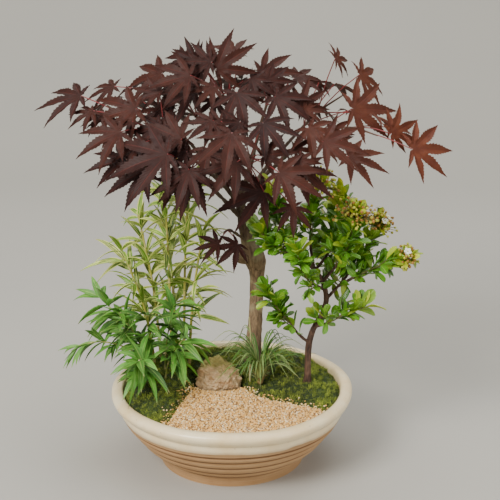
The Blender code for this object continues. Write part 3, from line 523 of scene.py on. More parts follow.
spots, normals = scatter("sand_stream", GRAINS, rand, SAND_TOP)
turns = turned(GRAINS, rand, 3.1)
sizes = GRAIN_R * (0.62 + 0.75 * rand.random(GRAINS) ** 1.6)
for spot, normal, turn, size in zip(spots, normals, turns, sizes):
    grain = size * chipped(rand) @ turn.T
    add_grain(spot + normal * (rand.random() * 1.1 - 0.15) + grain, rand.random())
# Stray grains have rolled onto the moss along both banks of the stream. They
# come to rest lower, the further they have rolled, but never under the moss.
near, _ = scatter("sand_stream", STRAYS, rand, SAND_TOP)
for x, y, z in near:
    turn = rand.random() * ALL_ROUND
    off = abs(rand.normal()) * (1.5 + 2.6 * abs(math.sin(x * 0.31)))
    spot = Vector((x + off * math.cos(turn), y + off * math.sin(turn), 0))
    under = top_of("moss_left" if spot.x < BANK_X else "moss_right", spot)
    if top_of("sand_stream", spot) is None and under is not None:
        grain = chipped(rand)
        rest = max(under + 1.6, z + 0.6 - 0.55 * off)
        size = GRAIN_R * (0.7 + 0.6 * rand.random())
        add_grain(np.array((spot.x, spot.y, rest)) + size * grain, rand.random())
fit(sand_grains.piece("sand_grains", sand, sharp=35), "sand")


# ------------------------------------------------------------ the moss
# Two pads of live moss pressed onto the soil. The pads are the carried-over
# solids, and thousands of short leafy tufts stand close together on them.
TUFTS = {"moss_left": 6800, "moss_right": 8800}
SPRIGS, SPRIG_TALL, SPRIG_WIDE = 4, 2.9, 0.74
MOSS_SIDE = 0.12                # faces down to nearly upright carry tufts
COLLAR, COLLAR_TUFTS = 1.8, 14  # mm round a stem that moss closes, and tufts for each mm


def read_blade(tree):
    """Shares along and across each body of a heap."""
    return put(tree, "ShaderNodeUVMap", uv_map="blade").outputs[0]


moss, tree, shader, where = new_finish("live_moss", Roughness=0.8, Sheen_Weight=0.15)
tone = read_tone(tree)
tip = put(tree, "ShaderNodeSeparateXYZ", {0: read_blade(tree)})
# Painted shade: the foot of each sprig takes these near-black blotches, which stand in for the shade down
# among the tufts.
patch = blotched(tree, where, 24.0, (0.012, 0.024, 0.004, 1), (0.040, 0.080, 0.008, 1), 0.16)
# The tips are fresh yellow-green and grow lighter with the tone. Tufts on higher ground have a higher
# tone, so this is partly painted light on the tops of the cushions.
fresh_and_lit_tips = tint(tree, tone, (0.06, 0.14, 0.010, 1), (0.50, 0.60, 0.06, 1))
green = tint(tree, sums(tree, "MULTIPLY", tip.outputs[0], span(tree, tone, 0.2, 1.0, 0.25, 1.0)),
             patch["Color"], fresh_and_lit_tips)
dead = sums(tree, "MULTIPLY", span(tree, tone, 0.07, 0.03), span(tree, tone, 0.0, 0.01))
feed(tree, shader, {"Base Color": tint(tree, dead, green, (0.10, 0.055, 0.022, 1)),
                    "Normal": grained(tree, where, 1500.0, 0.0008, 0.7)["Normal"]})
coat(moss, "moss_left", "moss_right")

# Where stems come out of the ground, and how wide their sockets are.
FEET = [(20, 47, 10.9), (75, -9, 5.0), (28, -2, 5.2), (18, 8, 2.0), (-62, 38, 2.7), (-50, 46, 2.7),
        (-74, 46, 2.7), (-44, 34, 2.7), (-58, 56, 2.7), (-80, 36, 2.7), (-86, 14, 2.7),
        (-79, 5, 2.7), (-68, 18, 2.7), (-88, 38, 2.7), (-66, -4, 2.7), (-80, -16, 2.7), (-88, 26, 3.0)]

mound, mound_faces = modelled(bpy.ops.mesh.primitive_ico_sphere_add, subdivisions=2, radius=1.0)
sprig = np.array([(-0.5, -0.29, 0), (0.5, -0.29, 0), (0, 0.58, 0), (0, 0, 1.0)])
sprig_faces = [(0, 2, 1), (0, 1, 3), (1, 2, 3), (2, 0, 3)]
tuft_points, tuft_faces, tuft_map = [], [], []
for k in range(SPRIGS):
    lean = Matrix.Rotation(math.radians(12 + 13 * k), 3, "X")
    way = Matrix.Rotation(2.4 * k, 3, "Z") @ lean
    tall = SPRIG_TALL * (1.0 - 0.11 * k)
    tuft_points += [way @ Vector((p[0] * SPRIG_WIDE, p[1] * SPRIG_WIDE, p[2] * tall)) for p in sprig]
    tuft_faces += [tuple(v + 4 * k for v in face) for face in sprig_faces]
    tuft_map += [(p[2], 0.5) for p in sprig]
tuft_points, tuft_map = np.array(tuft_points), np.array(tuft_map)
tuft_flat = np.column_stack([tuft_points[:, 0] / 5 + 0.5, tuft_map[:, 0] * 0.8 + 0.1])


def close_socket(cushions, x, y, radius, turns, rand):
    """Heap moss round a stem, level with the pads beside it."""
    ring = [Vector((x + (radius + COLLAR) * math.cos(t), y + (radius + COLLAR) * math.sin(t), 0))
            for t in (0.4, 1.5, 2.5, 3.6, 4.7, 5.7)]
    tops = [top for pad in TUFTS for top in (top_of(pad, spot) for spot in ring) if top]
    top = sum(tops) / len(tops)
    dome = np.array((x, y, top - 0.4)) + mound * (radius + 1.2, radius + 1.2, 1.3)
    cushions.add(dome, mound_faces, mound[:, 2:] * (0.3, 0.5), mound[:, :2] * 0.5 + 0.5, 0.3)
    for _ in range(int(COLLAR_TUFTS * radius)):
        turn = rand.random() * ALL_ROUND
        off = radius * rand.random() ** 0.5 + 0.8
        place = np.array((x + off * math.cos(turn), y + off * math.sin(turn), top))
        points = place + (0.8 + 0.5 * rand.random()) * tuft_points @ turns[int(turn * 9)].T
        cushions.add(points, tuft_faces, tuft_map, tuft_flat, 0.2 + 0.5 * rand.random())


for seed, (node, count) in enumerate(TUFTS.items()):
    rand = np.random.default_rng(20 + seed)
    spots, normals = scatter(node, count, rand, MOSS_SIDE)
    turns = turned(count, rand, 0.5)
    cushions = Heap()
    for spot, normal, turn in zip(spots, normals, turns):
        hill, knob = (noise.noise(Vector(spot) * scale) for scale in (0.09, 0.36))
        size = 0.80 + 0.35 * rand.random() + 0.4 * hill + 0.5 * knob
        spread = (1.25, 1.25, 1.0 + 0.5 * hill + 0.4 * knob)
        points = spot + size * (tuft_points * spread) @ turn.T
        points += (normal - (0, 0, 1)) * tuft_map[:, :1] * 1.4 - (0, 0, 0.5)
        # Tufts on the higher hills and knobs get a higher tone, and so lighter tips: painted light on the
        # tops, with some random tone as well.
        tone = min(1.0, max(0.1, 0.30 + 0.35 * hill + 0.9 * knob + 0.3 * rand.random()))
        cushions.add(points, tuft_faces, tuft_map, tuft_flat, tone)
    if node == "moss_right":
        for foot in FEET:
            close_socket(cushions, *foot, turns, rand)
    fit(cushions.piece(node + "_tufts", moss, sharp=80), "moss")


# ------------------------------------------------------------ the stone
# A rough knob of weathered tan stone, bedded in the soil at the stream's head.
# Its top is greened by a thin skin of yellow moss.
STONE_AT, STONE_HALF = (-13.0, 7.0, 80.5), (24.0, 15.0, 21.0)
BED_Z = 66.3                    # the flat underside, on the soil
FACETS = 16

rock, tree, shader, where = new_finish("weathered_stone")
place = put(tree, "ShaderNodeSeparateXYZ", {0: where})
face = put(tree, "ShaderNodeSeparateXYZ", {0: put(tree, "ShaderNodeNewGeometry").outputs["Normal"]})
tan = blotched(tree, where, 75.0, (0.46, 0.28, 0.13, 1), (1.0, 0.78, 0.46, 1), 0.2)
fleck = blotched(tree, where, 420.0, contrast=0.12)["Mask"]
tan = tint(tree, sums(tree, "MULTIPLY", fleck, 0.32), tan["Color"], (0.22, 0.12, 0.075, 1))
green = blotched(tree, where, 160.0, (0.20, 0.17, 0.03, 1), (0.50, 0.44, 0.12, 1))["Color"]
film = blotched(tree, where, 95.0, contrast=0.2)["Mask"]
level = sums(tree, "ADD", span(tree, place.outputs[2], 0.083, 0.097, -0.35, 0.6),
             span(tree, face.outputs[2], -0.2, 0.9, 0.0, 0.5))
skin = sums(tree, "MULTIPLY", span(tree, sums(tree, "ADD", level, film), 0.75, 1.25), 0.85)
feed(tree, shader, {"Base Color": tint(tree, skin, tan, green),
                    "Roughness": span(tree, fleck, 0, 1, 0.95, 0.8),
                    "Normal": grained(tree, where, 520.0, 0.0012, 0.8)["Normal"]})

bpy.ops.object.select_all(action="DESELECT")
bpy.ops.mesh.primitive_ico_sphere_add(subdivisions=6, radius=1.0)
stone = bpy.context.object
stone.name = "weathered_stone"
rand = random.Random(5)
facets = [(Vector((rand.uniform(-1, 1), rand.uniform(-1, 1), rand.uniform(-0.3, 1))).normalized(),
           rand.uniform(0.72, 0.95)) for _ in range(FACETS)]
for vertex in stone.data.vertices:
    way = vertex.co.normalized()
    reach = min([1.0] + [d / way.dot(n) for n, d in facets if way.dot(n) > 0.2])
    lump = 1.0 + 0.035 * math.sin(9 * way.x + 2) * math.sin(8 * way.z + 5 * way.y)
    worn = (0.13 * noise.fractal(way * 3.4, 0.75, 2.1, 6)
            - 0.09 * max(0.0, noise.noise(way * 7.0 + Vector((3, 1, 2)))) ** 0.8
            + 0.035 * noise.noise(way * 19.0))
    point = Vector([part * half for part, half in zip(way, STONE_HALF)])
    point = point * reach * (lump + worn) + Vector(STONE_AT)
    point.z = max(point.z, BED_Z)
    vertex.co = AXIS + point * MM
bpy.ops.object.shade_smooth()
stone.data.materials.append(rock)
fit(stone, "rock", "stone")


# ------------------------------------------------------------ the maple's wood
# An old red-leaved Japanese maple, grafted low. The trunk swells at the graft,
# turns to the left above it, and divides into boughs near the crown.
TRUNK = [(20, 47, 52, 7.5), (20, 47, 74, 9.6), (21, 47, 90, 8.6), (23, 47, 120, 7.4),
         (24.5, 47, 150, 7.0), (25, 47, 176, 7.6), (24, 46.5, 187, 10.2), (22, 46, 196, 10.4),
         (17, 46, 207, 7.6), (13, 46, 222, 6.0), (10, 46.5, 240, 5.4), (7, 47, 256, 4.6)]
# Boughs that leave the trunk: their points, and their radius at each end.
BOUGHS = {
    "left_low": ([(8, 46, 248), (-8, 36, 272), (-34, 20, 300)], 3.0, 1.7),
    "left_top": ([(7, 47, 252), (-6, 52, 284), (-24, 56, 322)], 2.8, 1.7),
    "left_front": ([(9, 45, 236), (-8, 20, 262), (-28, -8, 292)], 2.6, 1.6),
    "top": ([(7, 48, 253), (4, 54, 290), (-2, 52, 334)], 2.8, 1.7),
    "top_right": ([(7, 47, 253), (18, 44, 288), (28, 40, 330)], 2.8, 1.7),
    "right": ([(8, 47, 250), (30, 40, 278), (58, 28, 308)], 3.0, 1.7),
    "right_back": ([(9, 48, 246), (30, 66, 276), (58, 86, 304)], 2.6, 1.6),
    "back": ([(8, 49, 248), (6, 76, 282), (2, 100, 310)], 2.6, 1.6),
    "left_back": ([(8, 49, 246), (-18, 70, 278), (-46, 86, 306)], 2.6, 1.6),
    "front": ([(9, 44, 240), (14, 20, 268), (16, -6, 296)], 2.6, 1.6),
    "low": ([(16, 44, 210), (8, 34, 220), (0, 26, 228)], 1.8, 1.2),
}
STUB = [(19, 45, 194), (9, 42, 196), (5, 41, 197)]   # an old cut limb beside the graft
BARK_VOXEL = 0.00075


def smooth_route(points, per_span):
    """Points on a Catmull-Rom curve through the given ones."""
    pts = [Vector(p) for p in points]
    ends = [pts[0] * 2 - pts[1], *pts, pts[-1] * 2 - pts[-2]]
    route = []
    for a, b, c, d in zip(ends, ends[1:], ends[2:], ends[3:]):
        for k in range(per_span):
            t = k / per_span
            route.append(0.5 * (2 * b + (c - a) * t + (2 * a - 5 * b + 4 * c - d) * t * t
                                + (3 * b - a - 3 * c + d) * t ** 3))
    return route + [pts[-1]]


def rod(route, radii, sides):
    """A closed round rod: its points, faces, and a map of length and turn."""
    count = len(route)
    ways = [(route[min(k + 1, count - 1)] - route[max(k - 1, 0)]).normalized()
            for k in range(count)]
    side = ways[0].orthogonal().normalized()
    points, maps, faces, run = [], [], [], 0.0
    for k, (point, along, radius) in enumerate(zip(route, ways, radii)):
        run += (point - route[k - 1]).length if k else 0.0
        side = (side - along * side.dot(along)).normalized()
        up = along.cross(side)
        for turn in (2 * math.pi * j / sides for j in range(sides)):
            points.append(point + radius * (side * math.cos(turn) + up * math.sin(turn)))
            maps.append((run, turn / ALL_ROUND))
    for k in range(count - 1):
        for j in range(sides):
            n = (j + 1) % sides
            faces.append((k * sides + j, k * sides + n, (k + 1) * sides + n, (k + 1) * sides + j))
    faces.append(tuple(reversed(range(sides))))
    faces.append(tuple(range((count - 1) * sides, count * sides)))
    maps = np.array(maps)
    return np.array(points), faces, maps, maps / (run, 1.0)


def even_radii(route, start, end):
    """Radii that go evenly from start to end along a route."""
    last = len(route) - 1
    return [start + (end - start) * k / last for k in range(last + 1)]


def limb(points, per_span, thick, thin):
    """A limb's curved line, and its radii from thick to thin."""
    route = smooth_route(points, per_span)
    return route, even_radii(route, thick, thin)


def trunk_limb(points):
    """A trunk's line and radii, from points that each carry a radius."""
    line = smooth_route(points, 4)
    return [p.to_3d() for p in line], [p[3] for p in line]


# Old wood: long cracks and ridges along the stem, in two browns, with grey
# lichen in patches.
group, given, result = new_group(
    "bark", {"Vector": None, "Dark": (0, 0, 0, 1), "Light": (1, 1, 1, 1),
             "Lichen": (0.4, 0.4, 0.3, 1), "Depth": 0.001},
    {"Color": "Color", "Normal": "Vector", "Roughness": "Float"})
long = put(group, "ShaderNodeMapping", {"Vector": given["Vector"], "Scale": (1.0, 1.0, 0.22)})
crack = put(group, "ShaderNodeTexNoise", {"Vector": long.outputs[0], "Scale": 420.0,
                                          "Detail": 6.0, "Roughness": 0.7, "Distortion": 0.6})
patch = put(group, "ShaderNodeTexNoise", {"Vector": given["Vector"], "Scale": 55.0, "Detail": 4.0})
wood = tint(group, span(group, crack.outputs[0], 0.34, 0.66), given["Dark"], given["Light"])
grey = span(group, patch.outputs[0], 0.52, 0.70, 0.0, 0.75)
bump = put(group, "ShaderNodeBump", {"Height": crack.outputs[0], "Strength": 0.8,
                                     "Distance": given["Depth"]})
feed(group, result, {"Color": tint(group, grey, wood, given["Lichen"]),
                     "Normal": bump.outputs[0],
                     "Roughness": span(group, crack.outputs[0], 0.3, 0.7, 0.95, 0.72)})


def bark_finish(name, **colours):
    """A bark of its own colours, and the socket that those colours come from."""
    made, tree, shader, where = new_finish(name)
    skin = use_group(tree, "bark", {"Vector": where, **colours})
    feed(tree, shader, {"Base Color": skin["Color"], "Normal": skin["Normal"],
                        "Roughness": skin["Roughness"]})
    return made, skin["Color"]


def grown_wood(name, limbs, voxel, knobs, finish):
    """Limbs that melt into each other, with the ridges of old bark."""
    wood = Heap()
    for route, radii in limbs:
        wood.add(*rod(route, radii, 14), 0.5)
    made = wood.piece(name, finish)
    bpy.ops.object.select_all(action="DESELECT")
    made.select_set(True)
    bpy.context.view_layer.objects.active = made
    melt = made.modifiers.new("melt", "REMESH")
    melt.mode, melt.voxel_size = "VOXEL", voxel
    bpy.ops.object.modifier_apply(modifier="melt")
    relax = made.modifiers.new("relax", "SMOOTH")
    relax.iterations, relax.factor = 3, 0.5
    bpy.ops.object.modifier_apply(modifier="relax")
    count = len(made.data.vertices)
    places, ways = np.empty(count * 3), np.empty(count * 3)
    made.data.vertices.foreach_get("co", places)
    made.data.vertex_normals.foreach_get("vector", ways)
    reach = []
    for x, y, z in to_axis(places.reshape(-1, 3)):
        ridge = noise.fractal(Vector((x, y, z * 0.16)) * 0.42, 0.7, 2.0, 3)
        reach.append(ridge * 0.42 + noise.noise(Vector((x, y, z)) * 0.13) * 0.5)
    places += ways * np.repeat(reach, 3) * knobs * MM
    made.data.vertices.foreach_set("co", places)
    made.data.update()
    bpy.ops.object.shade_smooth()
    made.data.materials.clear()
    made.data.materials.append(finish)
    return made


maple_bark, skin = bark_finish(
    "maple_bark", Dark=(0.10, 0.06, 0.035, 1), Light=(0.40, 0.27, 0.15, 1),
    Lichen=(0.50, 0.43, 0.25, 1), Depth=0.0012)
# The wood of the crown is painted nearly black, as painted shade under the leaves; the bark is also darker
# towards the foot.
tree = maple_bark.node_tree
where = put(tree, "ShaderNodeTexCoord").outputs["Object"]
height = put(tree, "ShaderNodeSeparateXYZ", {0: where}).outputs[2]
crown_shade_dark_foot = sums(tree, "MAXIMUM", span(tree, height, 0.185, 0.235, 0.0, 0.86),
            span(tree, height, 0.125, 0.085, 0.0, 0.6))
feed(tree, tree.nodes["Principled BSDF"],
     {"Base Color": tint(tree, crown_shade_dark_foot, skin, (0.045, 0.024, 0.017, 1))})
limbs = [trunk_limb(TRUNK)]
limbs += [limb(points, 6, thick, thin) for points, thick, thin in BOUGHS.values()]
limbs.append(limb(STUB, 3, 8.0, 6.0))
fit(grown_wood("maple_wood", limbs, BARK_VOXEL, 1.0, maple_bark), "maple_bark", "maple_trunk")


# ------------------------------------------------------------ the maple's leaves
# Dark purple-red leaves of seven long toothed lobes, that hang from crimson
# stalks. Each spray is a twig beyond its bough, with all that grew on it.
CROWN, SIDE_SHARE = (10.0, 84.0), 0.3
# Each spray: the points of its twig, and its large leaves. A leaf is its place,
# the heading it points in, how far it tilts off level, and its length.
SPRAYS = {
    "left_low": ([(-62, 10, 324), (-92, 4, 344), (-116, 4, 358)], [
        (-141, 8, 366, 180, 28, 48), (-100, -42, 343, 205, 40, 46),
        (-88, -12, 358, 188, 44, 52), (-62, 36, 346, 160, 20, 42),
        (-56, -16, 342, 225, 36, 42)]),
    "left_top": ([(-46, 56, 346), (-70, 50, 360), (-88, 46, 364)], [
        (-113, 42, 368, 182, 30, 34), (-68, 56, 378, 172, 42, 48),
        (-44, 62, 393, 195, 50, 30), (-86, 80, 366, 150, 20, 40),
        (-36, 24, 368, 215, 40, 44)]),
    "left_front": ([(-46, -30, 312), (-62, -46, 322)], [
        (-56, -72, 330, 200, 46, 60), (-96, -44, 318, 190, 36, 40),
        (-34, -70, 312, 258, 56, 44), (-20, -50, 330, 290, 44, 44),
        (-76, -60, 312, 212, 52, 44)]),
    "top": ([(-8, 46, 360), (-14, 34, 376)], [
        (-13, 18, 390, 70, 80, 44), (-38, 4, 386, 195, 50, 44),
        (2, 64, 396, 100, 30, 34), (-30, 72, 384, 140, 20, 36),
        (6, -8, 372, 280, 44, 44)]),
    "top_right": ([(34, 34, 352), (40, 30, 368)], [
        (29, 38, 382, 8, 55, 42), (64, 0, 358, 70, 72, 34),
        (42, -6, 368, 320, 44, 42), (62, 54, 374, 20, 25, 36),
        (40, 78, 372, 85, 20, 36)]),
    "right": ([(84, 18, 328), (112, 8, 336), (138, 0, 330)], [
        (170, -12, 320, 12, 58, 48), (115, 8, 354, 8, 62, 50),
        (152, 34, 330, 20, 45, 32), (109, -34, 318, 340, 40, 40),
        (84, -62, 339, 350, 44, 44), (72, -27, 343, 308, 40, 42)]),
    "right_back": ([(86, 92, 332), (110, 80, 352)], [
        (125, 60, 376, 6, 55, 42), (140, 92, 330, 10, 25, 40),
        (104, 116, 356, 62, 25, 42), (74, 116, 338, 85, 30, 42)]),
    "back": ([(0, 116, 330), (-2, 128, 346)], [
        (-4, 140, 356, 95, 30, 42), (32, 124, 352, 55, 30, 42),
        (-36, 122, 352, 135, 30, 42), (4, 96, 372, 80, 15, 36)]),
    "left_back": ([(-74, 92, 326), (-94, 94, 338)], [
        (-120, 96, 344, 170, 25, 42), (-94, 122, 338, 130, 30, 40),
        (-64, 104, 360, 150, 20, 40), (-58, 126, 322, 110, 35, 40)]),
    "front": ([(18, -30, 316), (16, -48, 326)], [
        (2, -78, 350, 262, 46, 46), (44, -86, 317, 322, 48, 46),
        (6, -70, 322, 245, 52, 42), (30, -46, 352, 300, 44, 42),
        (62, -62, 314, 310, 50, 40), (30, -32, 284, 212, 52, 50)]),
    "low": ([(-4, 22, 230), (-8, 18, 228)], [
        (-12, 4, 222, 195, 50, 27), (6, 2, 222, 245, 62, 30)]),
}
LOBES = [(-114, 0.40), (-74, 0.70), (-37, 0.92), (0, 1.0), (37, 0.92), (74, 0.70), (114, 0.40)]
NOTCH = 0.235                   # how near the leaf's middle the lobes part
TEETH = 10                      # teeth along one side of a lobe
LANCE = ((0, 0.12, 0.28, 0.42, 0.58, 0.74, 0.88, 1), (0.60, 0.84, 1.0, 0.95, 0.74, 0.44, 0.18, 0.04))
LOBE_WIDE = 0.118               # half of a lobe's width, to its length
ACROSS = (-1.0, -0.5, 0.0, 0.5, 1.0)
DROOP = 0.16
LEAF_HALF_THICK = 0.14
# Small leaves fill in behind the large ones. A leaf longer than ONE_BESIDE has one
# at its side, and one longer than TWO_BESIDE has two, if it stands left of OPEN_SIDE.
ONE_BESIDE, TWO_BESIDE, OPEN_SIDE = 38, 42, 25


def blade_axes(x, y, heading, tilt):
    """Heading, side and normal of a maple blade that leans off the crown."""
    away = Vector(((x - CROWN[0]) * SIDE_SHARE, y - CROWN[1], 0)).normalized()
    lean = math.radians(tilt)
    normal = Vector((0, 0, 1)) * math.cos(lean) + away * math.sin(lean)
    point = Vector((math.cos(math.radians(heading)), math.sin(math.radians(heading)), 0))
    point = (point - normal * point.dot(normal)).normalized()
    return point, normal.cross(point), normal


def closed(faces, count):
    """A sheet's faces, its underside, and the narrow wall round its edge."""
    under = [tuple(v + count for v in reversed(face)) for face in faces]
    edges = {edge for face in faces for edge in zip(face, face[1:] + face[:1])}
    wall = [(b, a, a + count, b + count) for a, b in sorted(edges) if (b, a) not in edges]
    return faces + under + wall


def palm_leaf():
    """A flat blade of unit size: its points, and its faces as a closed sheet.

    A point's row: forward, sideways, share along its lobe, share out from the
    rib, the lobe's number and its half width there.
    """
    spots, faces = {}, []

    def spot(x, y, angle, *rest):
        forward = x * math.cos(angle) - y * math.sin(angle)
        sideways = x * math.sin(angle) + y * math.cos(angle)
        key = (round(forward, 4), round(sideways, 4))
        if key not in spots:
            spots[key] = (len(spots), (forward, sideways, *rest))
        return spots[key][0]

    notches = [(-150.0, 0.09)]
    notches += [((a + b) / 2, NOTCH * min(la, lb) + 0.03) for (a, la), (b, lb) in zip(LOBES, LOBES[1:])]
    notches.append((150.0, 0.09))
    for lobe, (heading, length) in enumerate(LOBES):
        ends = []
        for angle, reach in (notches[lobe], notches[lobe + 1]):
            off = math.radians(angle - heading)
            ends.append((reach * math.cos(off), reach * math.sin(off)))
        start = (ends[0][0] + ends[1][0]) / 2
        rows = [[(start * w * (1 - abs(s)) + ends[s > 0][0] * w * abs(s), ends[s > 0][1] * w * abs(s),
                  start * w / length, abs(s), 0.0) for s in ACROSS] for w in (0.0, 0.5, 1.0)]
        for k in range(1, 2 * TEETH + 1):
            share = k / (2 * TEETH)
            middle = start + (length - start) * share
            tooth = 1.07 if k % 2 == 0 or k == 1 else 0.86
            half = float(np.interp(share, *LANCE)) * LOBE_WIDE * length * tooth
            fade = (1 - share) ** 5
            row = []
            for s in ACROSS:
                edge_x, edge_y = ends[s > 0]
                wide = half + (abs(edge_y) - LANCE[1][0] * LOBE_WIDE * length) * fade
                back = (edge_x - start) * fade + (0.012 if k % 2 == 0 else -0.004)
                row.append((middle + back * abs(s) * (share < 1), wide * s, middle / length, abs(s), half))
            rows.append(row)
        lines = [[spot(x, y, math.radians(heading), along, out, lobe, half)
                  for x, y, along, out, half in row] for row in rows]
        for near, far in zip(lines, lines[1:]):
            for j in range(len(ACROSS) - 1):
                ring = (near[j], far[j], far[j + 1], near[j + 1])
                face = tuple(v for i, v in enumerate(ring) if v != ring[i - 1])
                faces.append(face)
    table = np.array([row for _, row in spots.values()])
    return table, closed(faces, len(table))


def petiole_route(stem, leaf):
    """A thin arched stalk from the nearest part of the stem to the blade."""
    base = Vector(leaf[:3])
    last = len(stem) - 1
    near = min(range(last + 1), key=lambda k: (stem[k] - base).length)
    root = stem[near - 2] if near > 2 else stem[1]
    along, _, normal = blade_axes(leaf[0], leaf[1], leaf[3], leaf[4])
    bend = root.lerp(base, 0.55) + Vector((0, 0, 2.5)) - normal * 1.5
    return smooth_route([root, bend, base - along * 1.0], 5)


def hang_leaf(heap, leaf, rand, tone):
    """Set one palm leaf at its place, with its own curl and fold."""
    x, y, z, heading, tilt, size = leaf
    along, side, normal = (np.array(v) for v in blade_axes(x, y, heading, tilt))
    forward, sideways, share, out, lobe, half = palm.T
    aims = np.radians([angle for angle, _ in LOBES])[lobe.astype(int)]
    swing = rand.uniform(-0.06, 0.06, len(LOBES))[lobe.astype(int)] * share ** 2
    curl = rand.uniform(-0.03, 0.10, len(LOBES))[lobe.astype(int)] * share ** 3
    fold = rand.uniform(0.25, 0.55)
    forward, sideways = forward - np.sin(aims) * swing, sideways + np.cos(aims) * swing
    rise = fold * out * half - DROOP * (forward ** 2 + sideways ** 2) - curl
    ripple = 0.006 * np.sin(share * 26 + lobe) * out
    middle = (np.array((x, y, z)) + size * (forward[:, None] * along + sideways[:, None] * side
                                            + (rise + ripple)[:, None] * normal))
    points = np.concatenate([middle + normal * LEAF_HALF_THICK, middle - normal * LEAF_HALF_THICK])
    maps = np.column_stack([share, out])
    flats = palm[:, :2] * (0.55, 0.5) + (0.42, 0.5)
    heap.add(points, palm_faces, np.concatenate([maps, maps]), np.concatenate([flats, flats]), tone)


# The face of a leaf: a pale midrib, side veins that run forward from it, and a
# slightly quilted surface between them.
group, given, result = new_group(
    "leaf_face", {"Map": None, "Vein Count": 12.0, "Slant": 3.0, "Depth": 0.0004},
    {"Rib": "Float", "Veins": "Float", "Normal": "Vector"})
parts = put(group, "ShaderNodeSeparateXYZ", {0: given["Map"]})
slanted = sums(group, "SUBTRACT", sums(group, "MULTIPLY", parts.outputs[0], given["Vein Count"]),
               sums(group, "MULTIPLY", parts.outputs[1], given["Slant"]))
wave = sums(group, "ABSOLUTE", sums(group, "SINE", sums(group, "MULTIPLY", slanted, math.pi)))
veins = span(group, wave, 0.22, 0.0)
rib = span(group, parts.outputs[1], 0.16, 0.03)
raised = sums(group, "ADD", sums(group, "MULTIPLY", wave, 0.35), sums(group, "MULTIPLY", rib, -0.8))
bump = put(group, "ShaderNodeBump", {"Height": raised, "Strength": 0.6, "Distance": given["Depth"]})
feed(group, result, {"Rib": rib, "Veins": veins, "Normal": bump.outputs[0]})


def veined(tree, veins, slant, depth):
    """The veins and midrib of a leaf, with its map read from the blade."""
    return use_group(tree, "leaf_face", {"Map": read_blade(tree), "Vein Count": veins,
                                         "Slant": slant, "Depth": depth})


def mottled(name, scale, dark, light, **plain):
    """A plain finish with soft blotches of two colours."""
    made, tree, shader, where = new_finish(name, **plain)
    feed(tree, shader, {"Base Color": blotched(tree, where, scale, dark, light)["Color"]})
    return made


def add_stalk(heap, line, thick, thin, sides, finish):
    """A round stalk that tapers along a line."""
    heap.add(*rod(line, even_radii(line, thick, thin), sides), 0.5, finish)


maple_leaf, tree, shader, where = new_finish("maple_leaf", Specular_IOR_Level=0.22)
tone = read_tone(tree)
face = veined(tree, 13.0, 2.6, 0.0005)
skin = blotched(tree, where, 90.0, contrast=0.3)["Mask"]
dark = tint(tree, skin, (0.013, 0.0032, 0.0028, 1), (0.034, 0.0080, 0.0055, 1))
bronze = tint(tree, skin, (0.085, 0.017, 0.008, 1), (0.16, 0.042, 0.015, 1))
colour = tint(tree, tone, dark, bronze)
colour = tint(tree, sums(tree, "MULTIPLY", face["Veins"], 0.18), colour, (0.075, 0.019, 0.012, 1))
colour = tint(tree, sums(tree, "MULTIPLY", face["Rib"], 0.32), colour, (0.13, 0.024, 0.017, 1))
feed(tree, shader, {"Base Color": colour, "Normal": face["Normal"],
                    "Roughness": span(tree, skin, 0.0, 1.0, 0.48, 0.62)})

leaf_stalk = mottled("crimson_stalk", 60.0, (0.10, 0.012, 0.014, 1), (0.34, 0.035, 0.035, 1),
                     Roughness=0.42)
twig_bark, tree, shader, where = new_finish("maple_twig")
stripe = blotched(tree, where, 120.0, (0.055, 0.028, 0.022, 1), (0.16, 0.085, 0.055, 1))
rings = grained(tree, where, 900.0, 0.0003)
feed(tree, shader, {"Base Color": stripe["Color"], "Normal": rings["Normal"],
                    "Roughness": span(tree, rings["Grain"], 0.3, 0.7, 0.55, 0.75)})


def past(wood, tips, per_span):
    """The line that carries on from a limb to its tips, without the limb."""
    return smooth_route([*wood, *tips], per_span)[per_span * (len(wood) - 1):]


def leaves_beside(leaf, rand):
    """Smaller leaves a little behind and beside a large one, in the same form."""
    x, y, z, heading, tilt, size = leaf
    sides = 2 if size > TWO_BESIDE and x < OPEN_SIDE else 1 if size > ONE_BESIDE else 0
    along, side, normal = blade_axes(x, y, heading, tilt)
    for turn in (rand.choice((-1, 1)) * s for s in (1, -1)[:sides]):
        spot = (Vector((x, y, z)) - along * size * rand.uniform(0.25, 0.5)
                + side * size * turn * rand.uniform(0.28, 0.45) - normal * rand.uniform(4, 13))
        yield (*spot, heading + turn * rand.uniform(30, 65), tilt + rand.uniform(-4, 22),
               size * rand.uniform(0.54, 0.76))


palm, palm_faces = palm_leaf()
for number, (name, (tips, leaves)) in enumerate(SPRAYS.items()):
    rand = np.random.default_rng(70 + number)
    bough = BOUGHS[name][0]
    stem = past(bough, tips, 2)
    spray = Heap()
    add_stalk(spray, past(bough, tips, 8), 1.65, 0.75, 8, 2)
    small = [extra for leaf in leaves for extra in leaves_beside(leaf, rand)]
    for leaf in leaves + small:
        redness = max(0.0, min(1.0, (leaf[0] - 40.0) / 110.0)) * 0.75
        add_stalk(spray, petiole_route(stem, leaf), 0.62, 0.5, 5, 1)
        hang_leaf(spray, leaf, rand, min(1.0, redness + rand.uniform(0.0, 0.22)))
    fit(spray.piece("maple_spray_of_leaves_" + name, maple_leaf, leaf_stalk, twig_bark, sharp=70),
        "maple_foliage", "maple_spray_" + name)


